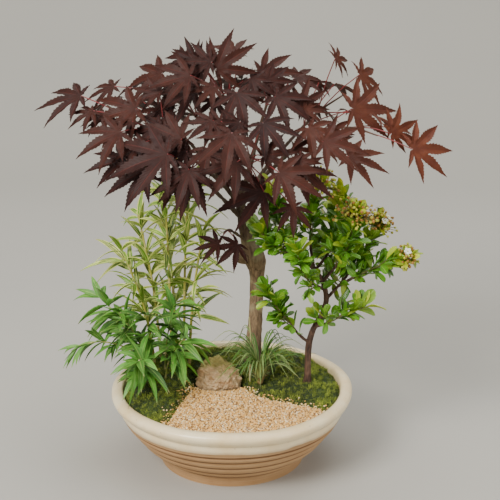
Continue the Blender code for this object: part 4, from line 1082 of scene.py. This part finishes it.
# ------------------------------------------------------------ the firethorn
# A small firethorn shrub with dark rough wood. Its shoots carry glossy bright
# green leaves that are yellower when young, and heads of buds, some in flower.
THORN_TRUNK = [(75, -9, 50, 2.8), (75, -9, 80, 4.2), (75, -9, 92, 3.4), (75, -10, 108, 3.1),
               (76, -9, 123, 3.2), (80, -8, 138, 2.8), (89, -9, 156, 2.6), (92, -9, 172, 2.6),
               (87, -9, 190, 2.3), (78, -8, 202, 2.1), (66, -7, 213, 1.8)]
THORN_WOOD = {
    "left_low": [(76, -9, 124), (66, -13, 134), (56, -15, 148)],
    "left_mid": [(68, -7, 211), (60, -12, 216), (52, -16, 220)],
    "left_top": [(66, -7, 212), (58, -2, 222), (52, 2, 232)],
    "top": [(80, -8, 200), (77, 0, 216), (76, 6, 228)],
    "right_low": [(80, -8, 140), (90, -13, 145), (98, -16, 150)],
    "right_mid": [(92, -9, 170), (104, -5, 182), (114, -3, 194)],
    "right_top": [(88, -9, 188), (98, -14, 202), (106, -18, 214)],
    "back": [(92, -8, 168), (92, 8, 182), (93, 20, 196)],
    "front": [(90, -10, 180), (82, -22, 188), (74, -32, 196)],
    "right_far": [(104, -5, 182), (116, -7, 190), (126, -9, 196)],
    "middle": [(80, -8, 198), (92, 2, 210), (100, 8, 222)],
}
THORN_SHOOTS = {
    "left_low": ([(44, -17, 164), (34, -20, 182)], 13),
    "left_mid": ([(38, -22, 230), (28, -26, 244)], 14),
    "left_top": ([(42, 6, 250), (38, 6, 272)], 15),
    "top": ([(78, 9, 252), (84, 8, 276)], 17),
    "right_low": ([(112, -21, 160), (128, -22, 166)], 10),
    "right_mid": ([(128, 2, 214), (140, 6, 238)], 16),
    "right_top": ([(112, -25, 236), (116, -28, 258)], 16),
    "back": ([(96, 32, 218), (100, 42, 244)], 17),
    "front": ([(67, -41, 212), (62, -46, 232)], 15),
    "right_far": ([(146, -11, 206), (164, -12, 212)], 13),
    "middle": ([(106, 14, 244), (106, 12, 266)], 15),
}
# First share of the stem, leaf length, width to length, angle from the stem at
# its foot and at its tip, and droop.
THORN_PLAN = (0.02, 22.0, 0.48, 66, 26, 0.0)
BUDS = 11                       # buds of a head that have their own places
BUD_HEADS = {"top": 15.0, "right_top": 16.0, "right_mid": 15.0, "right_far": 11.0}
FLOWERS = {"right_mid": 7, "right_top": 3, "right_far": 2}
MORE_LEAVES = 3                 # on short spurs near each leaf that has its own place
SIDE_TWIGS, TWIG_LEAVES = 3, 7
YOUNG_SHOOTS = ("top", "right_top", "right_mid", "middle")
HEAD_TOPS, HEAD_LEAVES = 110, 26
SPOON_FOLD, SPOON_THICK = 0.28, 0.34
THORN_VOXEL = 0.0005
GAP, GOLDEN = 0.3, math.radians(137.5)
# What is placed keeps clear of what stands there; a plant's own leaves may stand
# closer together, and its own thin stems don't count.
CLEAR, SAME_PLANT, OWN_STEM_R = 0.6, 0.5, 1.5
MOSS_TOP, OVER_BOWL_R, NODE_OFFSET = 84.0, 100.0, 0.23
LOWEST_TIP, LAST_SHARE, TRIES = 80, 0.97, 14
# Every stem, and every leaf that has its own place: start, end, radius, owner.
taken = []


def gap_between(p1, q1, p2, q2):
    """Shortest distance between two straight segments."""
    d1, d2, r = q1 - p1, q2 - p2, p1 - p2
    a, e, f = d1.dot(d1), d2.dot(d2), d2.dot(r)
    c, b = d1.dot(r), d1.dot(d2)
    slope = a * e - b * b
    s = min(1.0, max(0.0, (b * f - c * e) / slope)) if slope > 1e-9 else 0.0
    t = (b * s + f) / e
    if t < 0.0 or t > 1.0:
        t = min(1.0, max(0.0, t))
        s = min(1.0, max(0.0, (b * t - c) / a))
    return ((p1 + d1 * s) - (p2 + d2 * t)).length


def is_free(start, end, radius, owner):
    """True where a leaf keeps clear of all that is placed already."""
    near = start.lerp(end, 0.3)
    for a, b, r, who in taken:
        if who == owner:
            if r < OWN_STEM_R:
                continue
            if gap_between(near, end, a.lerp(b, 0.3), b) < SAME_PLANT * (radius + r):
                return False
        elif gap_between(start, end, a, b) < radius + r + CLEAR:
            return False
    return True


def claim_route(route, radius, owner):
    """Note a stem as placed, so that leaves keep clear of it."""
    for a, b in zip(route, route[1:]):
        taken.append((a, b, radius, owner))


def leafy_shoot(owner, stem, plan, seed):
    """Leaves set spirally along a stem, each where there is room for it."""
    count, first, length, slim, wide_angle, tip_angle, droop = plan
    rand = random.Random(seed)
    leaves = []
    last = len(stem) - 1
    for k in range(count):
        share = first + (LAST_SHARE - first) * k / (count - 1)
        spot = share * last
        low = min(last - 1, int(spot))
        node = stem[low].lerp(stem[low + 1], spot - low)
        along = (stem[low + 1] - stem[low]).normalized()
        cross = along.orthogonal().normalized()
        for attempt in range(TRIES):
            turn_by = GOLDEN * k + rand.uniform(-0.5, 0.5) + attempt * 0.8
            out = Matrix.Rotation(turn_by, 3, along) @ cross
            lean = math.radians(wide_angle + (tip_angle - wide_angle) * share
                                + rand.uniform(-10, 10))
            way = (along * math.cos(lean) + out * math.sin(lean)
                   - Vector((0, 0, droop))).normalized()
            size = length * rand.uniform(0.8, 1.12)
            root = node + out * NODE_OFFSET
            tip = root + way * size
            inside = math.hypot(tip.x, tip.y) < OVER_BOWL_R or tip.z > MOSS_TOP
            if inside and tip.z > LOWEST_TIP and is_free(root, tip, size * slim / 2, owner):
                leaves.append((root, tip, size * slim, (Vector((0, 0, 1.2)) - out).normalized()))
                taken.append((root, tip, size * slim / 2, owner))
                break
    return leaves


def bud_head(name, stem, radius):
    """The point that a head's stalks fan from, and the places of its first buds."""
    along = (stem[-1] - stem[-2]).normalized()
    foot = stem[-1] + along * 1.2
    rand = random.Random(sum(map(ord, name)))
    buds = []
    for k in range(BUDS):
        fan = math.sqrt((k + 0.5) / BUDS) * 0.95
        out = Matrix.Rotation(GOLDEN * k, 3, along) @ along.orthogonal().normalized()
        way = (along * math.cos(fan * 1.1) + out * math.sin(fan * 1.1)).normalized()
        buds.append(foot + way * radius * rand.uniform(0.82, 1.0))
    return foot, buds


def slim_leaf(stations, across):
    """A flat narrow blade: shares along and across, widths, and closed faces."""
    table = np.array([(share, s, wide) for share, wide in stations for s in across])
    wide = len(across)
    faces = [(i * wide + j, (i + 1) * wide + j, (i + 1) * wide + j + 1, i * wide + j + 1)
             for i in range(len(stations) - 1) for j in range(wide - 1)]
    return table, closed(faces, len(table))


def lay_leaf(heap, shape, leaf, arch, fold, thick, tone, finish=0, sag=0.0, twist=0.0):
    """Set one narrow leaf from root to tip, arched, folded and a little twisted."""
    table, faces = shape
    root, tip, width, normal = leaf
    length = (tip - root).length
    along = (tip - root).normalized()
    up = (normal - along * normal.dot(along)).normalized()
    side = up.cross(along)
    share, s, wide = table.T
    half = width / 2 * wide * s
    turn = twist * share
    lift = arch * 4 * share * (1 - share) * length + fold * np.abs(half)
    middle = (np.array(root) + np.outer(share * length, along)
              + np.outer(half * np.cos(turn), side) + np.outer(lift + half * np.sin(turn), up)
              - np.outer(sag * length * share ** 2.5, (0, 0, 1)))
    off = np.outer(np.full(len(table), thick / 2), up)
    maps = np.column_stack([share, np.abs(s)])
    flats = np.column_stack([share, half / width + 0.5])
    heap.add(np.concatenate([middle + off, middle - off]), faces, np.concatenate([maps, maps]),
             np.concatenate([flats, flats]), tone, finish)


thorn_bark, _ = bark_finish(
    "firethorn_bark", Dark=(0.018, 0.010, 0.008, 1), Light=(0.125, 0.062, 0.036, 1),
    Lichen=(0.22, 0.13, 0.08, 1), Depth=0.0010)

thorn_leaf, tree, shader, where = new_finish("firethorn_leaf", Coat_Weight=0.25,
                                             Coat_Roughness=0.18)
tone = read_tone(tree)
face = veined(tree, 7.0, 1.6, 0.0003)
skin = blotched(tree, where, 110.0, contrast=0.3)["Mask"]
grown = tint(tree, skin, (0.035, 0.145, 0.005, 1), (0.16, 0.40, 0.016, 1))
young = tint(tree, skin, (0.40, 0.56, 0.018, 1), (0.78, 0.74, 0.05, 1))
colour = tint(tree, span(tree, tone, 0.35, 1.0), grown, young)
colour = tint(tree, sums(tree, "MULTIPLY", face["Rib"], 0.45), colour, (0.38, 0.58, 0.12, 1))
feed(tree, shader, {"Base Color": colour, "Normal": face["Normal"],
                    "Roughness": span(tree, skin, 0.0, 1.0, 0.28, 0.42)})

green_twig = mottled("firethorn_twig", 60.0, (0.09, 0.045, 0.02, 1), (0.19, 0.24, 0.04, 1),
                     Roughness=0.6)
bud_skin, tree, shader, where = new_finish("bud_skin", Roughness=0.6)
cover = blotched(tree, where, 700.0, (0.17, 0.065, 0.012, 1), (0.56, 0.29, 0.05, 1))["Color"]
cover = tint(tree, span(tree, read_tone(tree), 0.35, 0.8), cover, (0.50, 0.54, 0.06, 1))
feed(tree, shader, {"Base Color": cover})
petal = mottled("white_petal", 300.0, (0.70, 0.67, 0.54, 1), (0.90, 0.88, 0.80, 1),
                Roughness=0.55)

claim_route([Vector(p[:3]) for p in TRUNK], 8.5, "maple_trunk")
for points, thick, _ in BOUGHS.values():
    claim_route(smooth_route(points, 3), thick, "maple_trunk")
for a, b in zip(THORN_TRUNK, THORN_TRUNK[1:]):
    taken.append((Vector(a[:3]), Vector(b[:3]), a[3] + 0.3, "firethorn_trunk"))
for points in THORN_WOOD.values():
    claim_route(smooth_route(points, 2), 1.7, "firethorn_trunk")
shoots = {}
for name, (tips, _) in THORN_SHOOTS.items():
    wood = THORN_WOOD[name]
    stem = past(wood, tips, 2)
    stem[0] = stem[0] + (stem[1] - stem[0]).normalized() * (GAP + 0.4)
    shoots[name] = stem
    claim_route(stem, 0.9, "firethorn_shoot_" + name)
heads = {name: bud_head(name, shoots[name], radius) for name, radius in BUD_HEADS.items()}
for name, (foot, buds) in heads.items():
    for bud in buds:
        taken.append((foot, bud, 1.45, "firethorn_buds_" + name))

limbs = [trunk_limb(THORN_TRUNK)]
limbs += [limb(points, 6, 1.7, 1.1) for points in THORN_WOOD.values()]
# Three surface roots spread from the foot of the trunk.
for side, rise in ((2.0, 3.0), (-2.4, 2.0), (0.5, 1.0)):
    root = [(75 + side * 0.4, -9, 92), (75 + side, -9.6, 84), (75 + side * 2.6, -10.5, 76 + rise)]
    limbs.append(limb(root, 4, 2.4, 1.4))
fit(grown_wood("firethorn_wood", limbs, THORN_VOXEL, 0.55, thorn_bark), "firethorn_bark",
    "firethorn_trunk")

spoon = slim_leaf([(0.0, 0.07), (0.1, 0.12), (0.26, 0.46), (0.45, 0.84), (0.64, 1.0), (0.82, 0.90),
                   (0.94, 0.52), (1.0, 0.08)], (-1.0, 0.0, 1.0))


def any_way(rand, spread=1.0):
    """A random direction, before it is given a length."""
    return Vector([rand.gauss(0, spread) for _ in range(3)])


def spoon_leaf(heap, start, axis, rand, size, tone, finish=0):
    """One more leaf on a short spur, turned any way, but more often up the stem."""
    way = (any_way(rand).normalized() + axis * 0.45 + Vector((0, 0, 0.25))).normalized()
    foot = start + way * 1.2
    face = any_way(rand, 0.55) + Vector((0, 0, 1.0))
    if abs(face.normalized().dot(way)) > 0.95:
        face = way.orthogonal()
    lay_leaf(heap, spoon, (foot, foot + way * size, size * rand.uniform(0.36, 0.48), face),
             rand.uniform(-0.04, 0.10), SPOON_FOLD, SPOON_THICK, tone, finish,
             twist=rand.uniform(-0.5, 0.5))
    heap.add(*rod([start, foot + way * 0.6], [0.4, 0.35], 4), 0.5, 1)


for number, (name, stem) in enumerate(shoots.items()):
    leaves = leafy_shoot("firethorn_shoot_" + name, stem, (THORN_SHOOTS[name][1], *THORN_PLAN),
                         64 + number)
    rand = random.Random(500 + number)
    shoot = Heap()
    add_stalk(shoot, smooth_route([Vector(THORN_WOOD[name][-1]), *stem[1:]], 3), 1.1, 0.6, 7, 1)
    axis = (stem[-1] - stem[0]).normalized()
    for root, tip, width, normal in leaves:
        age = (root - stem[0]).dot(axis) / (stem[-1] - stem[0]).length
        tone = max(0.0, age - 0.45) * 1.1 + rand.uniform(-0.15, 0.30)
        if name in YOUNG_SHOOTS:
            tone += 0.22 * age
        lay_leaf(shoot, spoon, (root, tip, width, normal), rand.uniform(-0.03, 0.09), SPOON_FOLD,
                 SPOON_THICK, tone, twist=rand.uniform(-0.5, 0.5), sag=rand.uniform(0.0, 0.12))
        for _ in range(MORE_LEAVES):
            start = root + axis * rand.uniform(-3.0, 4.0)
            spoon_leaf(shoot, start, axis, rand, rand.uniform(12.0, 19.0),
                       tone + rand.uniform(-0.3, 0.3))
    wood = smooth_route([*THORN_WOOD[name], stem[1]], 4)
    for _ in range(SIDE_TWIGS):
        spot = wood[rand.randrange(4, len(wood) - 1)]
        way = any_way(rand).normalized() + axis * 0.4
        middle, end = spot + way * 7.0 + Vector((0, 0, 1.5)), spot + way * 14.0 + Vector((0, 0, 5))
        shoot.add(*rod([spot, middle, end], [0.8, 0.6, 0.4], 5), 0.5, 1)
        for j in range(TWIG_LEAVES):
            spoon_leaf(shoot, middle.lerp(end, j / (TWIG_LEAVES - 1)), way, rand,
                       rand.uniform(11.0, 18.0), 0.1 * j + rand.uniform(-0.25, 0.25))
    for spot in wood[4:-2]:
        for _ in range(rand.choice((1, 2, 2))):
            spoon_leaf(shoot, spot, axis, rand, rand.uniform(12.0, 18.0), rand.uniform(-0.1, 0.5))
    fit(shoot.piece("firethorn_leaves_" + name, thorn_leaf, green_twig, sharp=70),
        "firethorn_foliage", "firethorn_shoot_" + name)

petal_shape = slim_leaf([(0.0, 0.15), (0.35, 0.8), (0.7, 1.0), (1.0, 0.45)], (-1.0, 0.0, 1.0))


def add_bud(head, place, size, tone):
    """A round bud, or the middle of a flower."""
    head.add(np.array(place) + ball * size, ball_faces, ball[:, :2], ball_flat, tone)


def add_flower(head, top, out):
    """An open flower: five round petals about its middle."""
    flat = out.orthogonal().normalized()
    for j in range(5):
        way = Matrix.Rotation(j * 2 * math.pi / 5, 3, out) @ flat
        lay_leaf(head, petal_shape, (top, top + way * 3.8 + out * 0.9, 3.3, out), 0.06, -0.1,
                 0.25, 0.5, 2)
    add_bud(head, top + out * 0.5, 0.8, 0.9)


for number, (name, (foot, buds)) in enumerate(heads.items()):
    rand = random.Random(900 + number)
    head = Heap()
    along = (shoots[name][-1] - shoots[name][-2]).normalized()
    head.add(*rod([foot, foot + along, foot + along * 2.0], [0.9, 0.8, 0.6], 6), 0.5, 1)
    tops = list(buds)
    while len(tops) < HEAD_TOPS:
        way = any_way(rand).normalized()
        if way.dot(along) > -0.25:
            tops.append(foot + way * BUD_HEADS[name] * rand.uniform(0.5, 1.38))
    for _ in range(HEAD_LEAVES):
        spoon_leaf(head, foot + along * rand.uniform(-2, 6), along, rand, rand.uniform(9, 15),
                   rand.uniform(0.5, 1.0), 3)
    open_ones = set(rand.sample(range(len(tops)), FLOWERS.get(name, 0)))
    for k, top in enumerate(tops):
        bend = foot.lerp(top, 0.5) + Vector([rand.uniform(-0.8, 0.8) for _ in range(3)])
        add_stalk(head, smooth_route([foot + along, bend, top], 3), 0.36, 0.28, 4, 1)
        if k in open_ones:
            add_flower(head, top, (top - foot).normalized())
        else:
            add_bud(head, top, rand.uniform(1.1, 1.8), rand.random())
    fit(head.piece("firethorn_flower_head_" + name, bud_skin, green_twig, petal, thorn_leaf,
                   sharp=80),
        "flower_buds", "firethorn_buds_" + name)


# ------------------------------------------------------------ the bamboo
# A clump of dwarf bamboo. Tall culms carry cream-striped leaves; low shoots in
# front are greener, and one long shoot arches out over the rim.
# Each culm or shoot: its foot, its tip, and how many leaves it may carry.
TALL_CULMS = [(-62, 38, -66, 40, 268, 10), (-50, 46, -42, 52, 284, 10), (-74, 46, -94, 54, 236, 9),
              (-44, 34, -28, 34, 228, 8), (-58, 56, -70, 76, 250, 9), (-80, 36, -110, 36, 206, 8)]
LOW_SHOOTS = [(-86, 14, -112, 8, 152, 8), (-79, 5, -84, -10, 156, 8), (-68, 18, -56, 0, 160, 8),
              (-88, 38, -134, 46, 150, 8), (-66, -4, -46, -28, 136, 7), (-80, -16, -88, -48, 122, 7)]
REACHING = [(-88, 26, 50), (-90, 26, 88), (-108, 18, 108), (-132, 8, 118), (-152, 2, 116)]
TALL_PLAN = (0.34, 46.0, 0.15, 42, 30, 0.30)
LOW_PLAN = (0.28, 36.0, 0.21, 62, 40, 0.12)
REACHING_PLAN = (5, 0.45, 28.0, 0.16, 50, 24, 0.15)
SOIL_TOP, SOCKET_DEPTH = 66.0, 16.0
JOINT_STEP = 17.0               # length of culm between two joints
FAN = 3                         # leaves beside each leaf that has its own place
RIBBON_FOLD, RIBBON_THICK = 0.35, 0.28
RIM_R, RIM_CLEAR_Z = 104, 86    # past the bowl's rim no leaf hangs lower than this


def culm_route(base_x, base_y, top_x, top_y, top_z):
    """A culm that stands upright in the soil and leans as it rises."""
    foot = SOIL_TOP - SOCKET_DEPTH
    lift = top_z - MOSS_TOP
    return smooth_route([(base_x, base_y, foot), (base_x, base_y, MOSS_TOP),
                         (base_x + (top_x - base_x) * 0.3, base_y + (top_y - base_y) * 0.3,
                          MOSS_TOP + lift * 0.5), (top_x, top_y, top_z)], 2)


def bamboo_leaf_finish(name, dark, light, stripe, striped_share):
    """A leaf with long stripes that differ from one leaf to the next."""
    made, tree, shader, where = new_finish(name)
    tone = read_tone(tree)
    face = veined(tree, 3.0, 0.2, 0.0002)
    parts = put(tree, "ShaderNodeSeparateXYZ", {0: read_blade(tree)})
    lines = put(tree, "ShaderNodeCombineXYZ", {0: sums(tree, "MULTIPLY", parts.outputs[0], 0.7),
                                               1: sums(tree, "MULTIPLY", parts.outputs[1], 2.4),
                                               2: sums(tree, "MULTIPLY", tone, 37.0)})
    bands = put(tree, "ShaderNodeTexNoise", {"Vector": lines.outputs[0], "Scale": 1.6,
                                             "Detail": 2.0})
    patch = blotched(tree, where, 70.0, dark, light)
    older = tuple(0.33 * part for part in dark[:3]) + (1,)
    body = tint(tree, span(tree, tone, 0.5, 0.05, 0.0, 0.85), patch["Color"], older)
    edge = span(tree, parts.outputs[1], 0.55, 1.0, 0.0, 0.12)
    shown = span(tree, sums(tree, "ADD", bands.outputs[0], edge), 0.66 - 0.15 * striped_share,
                 0.70 - 0.15 * striped_share)
    colour = tint(tree, sums(tree, "MULTIPLY", shown, striped_share), body, stripe)
    colour = tint(tree, sums(tree, "MULTIPLY", face["Rib"], 0.4), colour, stripe)
    dry_tip = span(tree, parts.outputs[0], 0.90, 1.0, 0.0, 0.6)
    feed(tree, shader, {"Base Color": tint(tree, dry_tip, colour, (0.50, 0.40, 0.17, 1)),
                        "Roughness": span(tree, patch["Mask"], 0.0, 1.0, 0.42, 0.55),
                        "Normal": face["Normal"]})
    return made


def cane_finish(name, dark, light):
    """A smooth cane with a pale ring and a papery sheath at each joint."""
    made, tree, shader, where = new_finish(name, Roughness=0.45)
    run = put(tree, "ShaderNodeSeparateXYZ", {0: read_blade(tree)})
    along = sums(tree, "FRACT", sums(tree, "DIVIDE", run.outputs[0], JOINT_STEP))
    skin = blotched(tree, where, 45.0, dark, light)["Color"]
    skin = tint(tree, span(tree, along, 0.45, 0.05, 0.0, 0.7), skin, (0.60, 0.50, 0.24, 1))
    ring = span(tree, along, 0.03, 0.0)
    feed(tree, shader, {"Base Color": tint(tree, ring, skin, (0.16, 0.10, 0.04, 1))})
    return made


striped = bamboo_leaf_finish("striped_bamboo_leaf", (0.07, 0.20, 0.012, 1), (0.20, 0.40, 0.030, 1),
                             (0.84, 0.86, 0.24, 1), 0.8)
plain = bamboo_leaf_finish("green_bamboo_leaf", (0.045, 0.19, 0.022, 1), (0.16, 0.42, 0.045, 1),
                           (0.46, 0.64, 0.14, 1), 0.22)
pale_cane = cane_finish("pale_cane", (0.26, 0.28, 0.03, 1), (0.54, 0.50, 0.09, 1))
green_cane = cane_finish("green_cane", (0.14, 0.22, 0.03, 1), (0.34, 0.40, 0.08, 1))
ribbon = slim_leaf([(0.0, 0.10), (0.08, 0.42), (0.22, 0.90), (0.38, 1.0), (0.56, 0.86), (0.75, 0.56),
                    (0.90, 0.24), (1.0, 0.03)], (-1.0, 0.0, 1.0))


def cane_limb(stem, thick):
    """A cane's line and radii: it tapers, and swells a little at each joint."""
    line = smooth_route(stem, 6)
    run, radii = 0.0, []
    for k, point in enumerate(line):
        run += (point - line[k - 1]).length if k else 0.0
        base = thick + (thick * 0.45 - thick) * k / (len(line) - 1)
        radii.append(base + 0.25 * math.exp(-(((run + 1.0) % JOINT_STEP) - 1.0) ** 2))
    return line, radii


def fan_leaves(leaf, rand):
    """More leaves that spread and hang from the foot of one, where there is room."""
    root, tip, width, normal = leaf
    way = tip - root
    for k in range(FAN):
        turn = (-1) ** k * rand.uniform(0.45, 0.95)
        spun = Matrix.Rotation(turn, 3, normal) @ way * rand.uniform(0.65, 1.05)
        spun += Vector((0, 0, rand.uniform(-0.75, 0.15) * way.length))
        start = root + way * rand.uniform(0.02, 0.12)
        end = start + spun
        if math.hypot(start.x + spun.x, start.y + spun.y) <= RIM_R or end.z >= RIM_CLEAR_Z:
            yield start, end, width * rand.uniform(0.75, 1.0), normal


def grow_bamboo(kind, stems, plans, slim, thick, leaf, cane, slot, seeds):
    """A piece for each cane, with its joints and its leaves in small fans."""
    for number, (stem, plan) in enumerate(zip(stems, plans)):
        node = f"{kind}_{number + 1:02d}"
        leaves = leafy_shoot(node, stem[2:], plan, seeds[0] + number)
        rand = random.Random(seeds[1] + number)
        piece = Heap()
        piece.add(*rod(*cane_limb(stem, thick), 7), 0.5, 1)
        for root, tip, width, normal in leaves:
            placed = root, tip, width * slim, normal
            lay_leaf(piece, ribbon, placed, 0.07, RIBBON_FOLD, RIBBON_THICK, rand.random(),
                     sag=rand.uniform(0.0, 0.10), twist=rand.uniform(-0.9, 0.9))
            for extra in fan_leaves(placed, rand):
                lay_leaf(piece, ribbon, extra, rand.uniform(0.04, 0.10), RIBBON_FOLD,
                         RIBBON_THICK, rand.random(), sag=rand.uniform(0.0, 0.26),
                         twist=rand.uniform(-1.1, 1.1))
        fit(piece.piece(node + "_leafy", leaf, cane, sharp=70), slot, node)


tall = [culm_route(*row[:5]) for row in TALL_CULMS]
low = [culm_route(*row[:5]) for row in LOW_SHOOTS] + [smooth_route(REACHING, 2)]
tall_plans = [(row[5], *TALL_PLAN) for row in TALL_CULMS]
low_plans = [(row[5], *LOW_PLAN) for row in LOW_SHOOTS] + [REACHING_PLAN]
for kind, stems, radius in (("bamboo_culm", tall, 1.3), ("bamboo_shoot", low, 1.1)):
    for number, stem in enumerate(stems):
        claim_route(stem, radius, f"{kind}_{number + 1:02d}")
grow_bamboo("bamboo_culm", tall, tall_plans, 0.88, 1.9, striped, pale_cane, "striped_bamboo",
            (14, 200))
grow_bamboo("bamboo_shoot", low, low_plans, 1.05, 1.1, plain, green_cane, "green_bamboo",
            (44, 300))


# ------------------------------------------------------------ the mondo grass
# A tuft of mondo grass by the stone: narrow arching blades from a pale crown,
# some with straw-coloured edges, and one old flower stalk that stands up dry.
GRASS_AT = (28, -2)
GRASS_BLADES, MORE_BLADES, SHEATHS = 22, 3, 26
BLADE_R, STALK_R = 1.0, 1.2     # the room that a blade and the stalk keep for themselves
STALK = [(18, 8, 56), (18, 8, 90), (19, 6, 118), (17, 4, 146)]

blade_finish, tree, shader, where = new_finish("grass_blade", Roughness=0.45)
parts = put(tree, "ShaderNodeSeparateXYZ", {0: read_blade(tree)})
deep = blotched(tree, where, 60.0, (0.035, 0.10, 0.014, 1), (0.12, 0.27, 0.035, 1))["Color"]
pale_edge = sums(tree, "MULTIPLY", span(tree, parts.outputs[1], 0.55, 0.7),
                 span(tree, read_tone(tree), 0.45, 0.9, 0.0, 0.8))
colour = tint(tree, pale_edge, deep, (0.50, 0.56, 0.24, 1))
colour = tint(tree, span(tree, parts.outputs[0], 0.30, 0.0, 0.0, 0.85), colour, (0.56, 0.58, 0.20, 1))
colour = tint(tree, span(tree, parts.outputs[0], 0.93, 1.0, 0.0, 0.7), colour, (0.42, 0.30, 0.12, 1))
feed(tree, shader, {"Base Color": colour})
straw = mottled("dry_stalk", 90.0, (0.36, 0.34, 0.12, 1), (0.62, 0.56, 0.28, 1), Roughness=0.7)
husk = mottled("crown_husk", 260.0, (0.11, 0.055, 0.02, 1), (0.42, 0.32, 0.12, 1), Roughness=0.75)


def level_way(heading):
    """A direction over the ground."""
    return Vector((math.cos(heading), math.sin(heading), 0))


def arch(foot, out, reach, rise, *steps):
    """A blade's line from its foot; each step is a share of its reach and rise."""
    return [foot] + [foot + out * reach * far + Vector((0, 0, rise * high)) for far, high in steps]


rand = random.Random(9)
claim_route(smooth_route(STALK, 3), STALK_R, "grass_stalk")
blades = []
for k in range(GRASS_BLADES):
    reach = rand.uniform(30, 52)
    rise = rand.uniform(20, 44)
    for attempt in range(12):
        heading = GOLDEN * k + attempt * 0.4
        out = level_way(heading)
        foot = Vector((*GRASS_AT, 83.5 + 0.11 * k)) + out * 1.8
        route = arch(foot, out, reach, rise, (0.22, 0.72), (0.62, 1.0), (1.0, 0.72))
        if all(is_free(a, b, BLADE_R, "mondo_grass") for a, b in zip(route, route[1:])):
            blades.append((route, heading, reach, rise))
            break


def grass_blade(heap, route, heading, width, tone, finish=0):
    """A narrow channelled blade along a route."""
    line = smooth_route(route, 4)
    side = np.array((-math.sin(heading), math.cos(heading), 0.0))
    count = len(line)
    rows, maps = [], []
    for k, point in enumerate(line):
        share = k / (count - 1)
        half = width / 2 * min(1.0, 0.55 + share * 2.2) * (1 - share ** 3 * 0.96)
        for s in (-1.0, 0.0, 1.0):
            rows.append(np.array(point) + side * half * s + np.array((0, 0, 0.35 * half * abs(s))))
            maps.append((share, abs(s)))
    faces = [((i + 1) * 3 + j, (i + 1) * 3 + j + 1, i * 3 + j + 1, i * 3 + j)
             for i in range(count - 1) for j in range(2)]
    rows, maps = np.array(rows), np.array(maps)
    flats = np.column_stack([maps[:, 0], np.tile((0.2, 0.5, 0.8), count)])
    thick = np.array((0, 0, 0.14))
    heap.add(np.concatenate([rows + thick, rows - thick]), closed(faces, len(rows)),
             np.concatenate([maps, maps]), np.concatenate([flats, flats]), tone, finish)


tuft = Heap()
crown_ball, crown_faces = modelled(bpy.ops.mesh.primitive_ico_sphere_add, subdivisions=3, radius=1.0)
tuft.add(np.array((*GRASS_AT, 81.0)) + crown_ball * (3.4, 3.4, 5.2), crown_faces, crown_ball[:, :2],
         crown_ball[:, :2] * 0.5 + 0.5, 0.5, 1)
for route, heading, reach, rise in blades:
    grass_blade(tuft, route, heading, 1.9, rand.random())
    for _ in range(MORE_BLADES):
        turn = heading + rand.uniform(-0.5, 0.5)
        out = level_way(turn)
        far, high = reach * rand.uniform(0.7, 1.25), rise * rand.uniform(0.8, 1.3)
        foot = Vector((*GRASS_AT, 82.0)) + out * rand.uniform(1.0, 2.8)
        more = arch(foot, out, far, high, (0.2, 0.7), (0.6, 1.0), (1.0, rand.uniform(0.45, 0.8)))
        grass_blade(tuft, more, turn, rand.uniform(1.4, 1.9), rand.random())
# Short sheaths close round the crown, and every third one is brown and dry.
for k in range(SHEATHS):
    out = level_way(GOLDEN * k)
    foot = Vector((*GRASS_AT, 80.0)) + out * 3.0
    rise, lean = rand.uniform(6, 15), rand.uniform(3, 9)
    sheath = arch(foot, out, lean, rise, (0.2, 0.4), (0.5, 0.8), (1.0, 1.0))
    grass_blade(tuft, sheath, GOLDEN * k, 2.6, 0.9, k % 3 == 0)
fit(tuft.piece("mondo_grass_tuft", blade_finish, husk, sharp=70), "grass", "mondo_grass")

old = Heap()
line = smooth_route(STALK, 8)
old.add(*rod(line, [r + 0.12 * math.sin(k * 1.3) for k, r in enumerate(even_radii(line, 1.0, 0.6))], 8),
        0.5)
fit(old.piece("old_flower_stalk", straw), "dry_stalk", "grass_stalk")
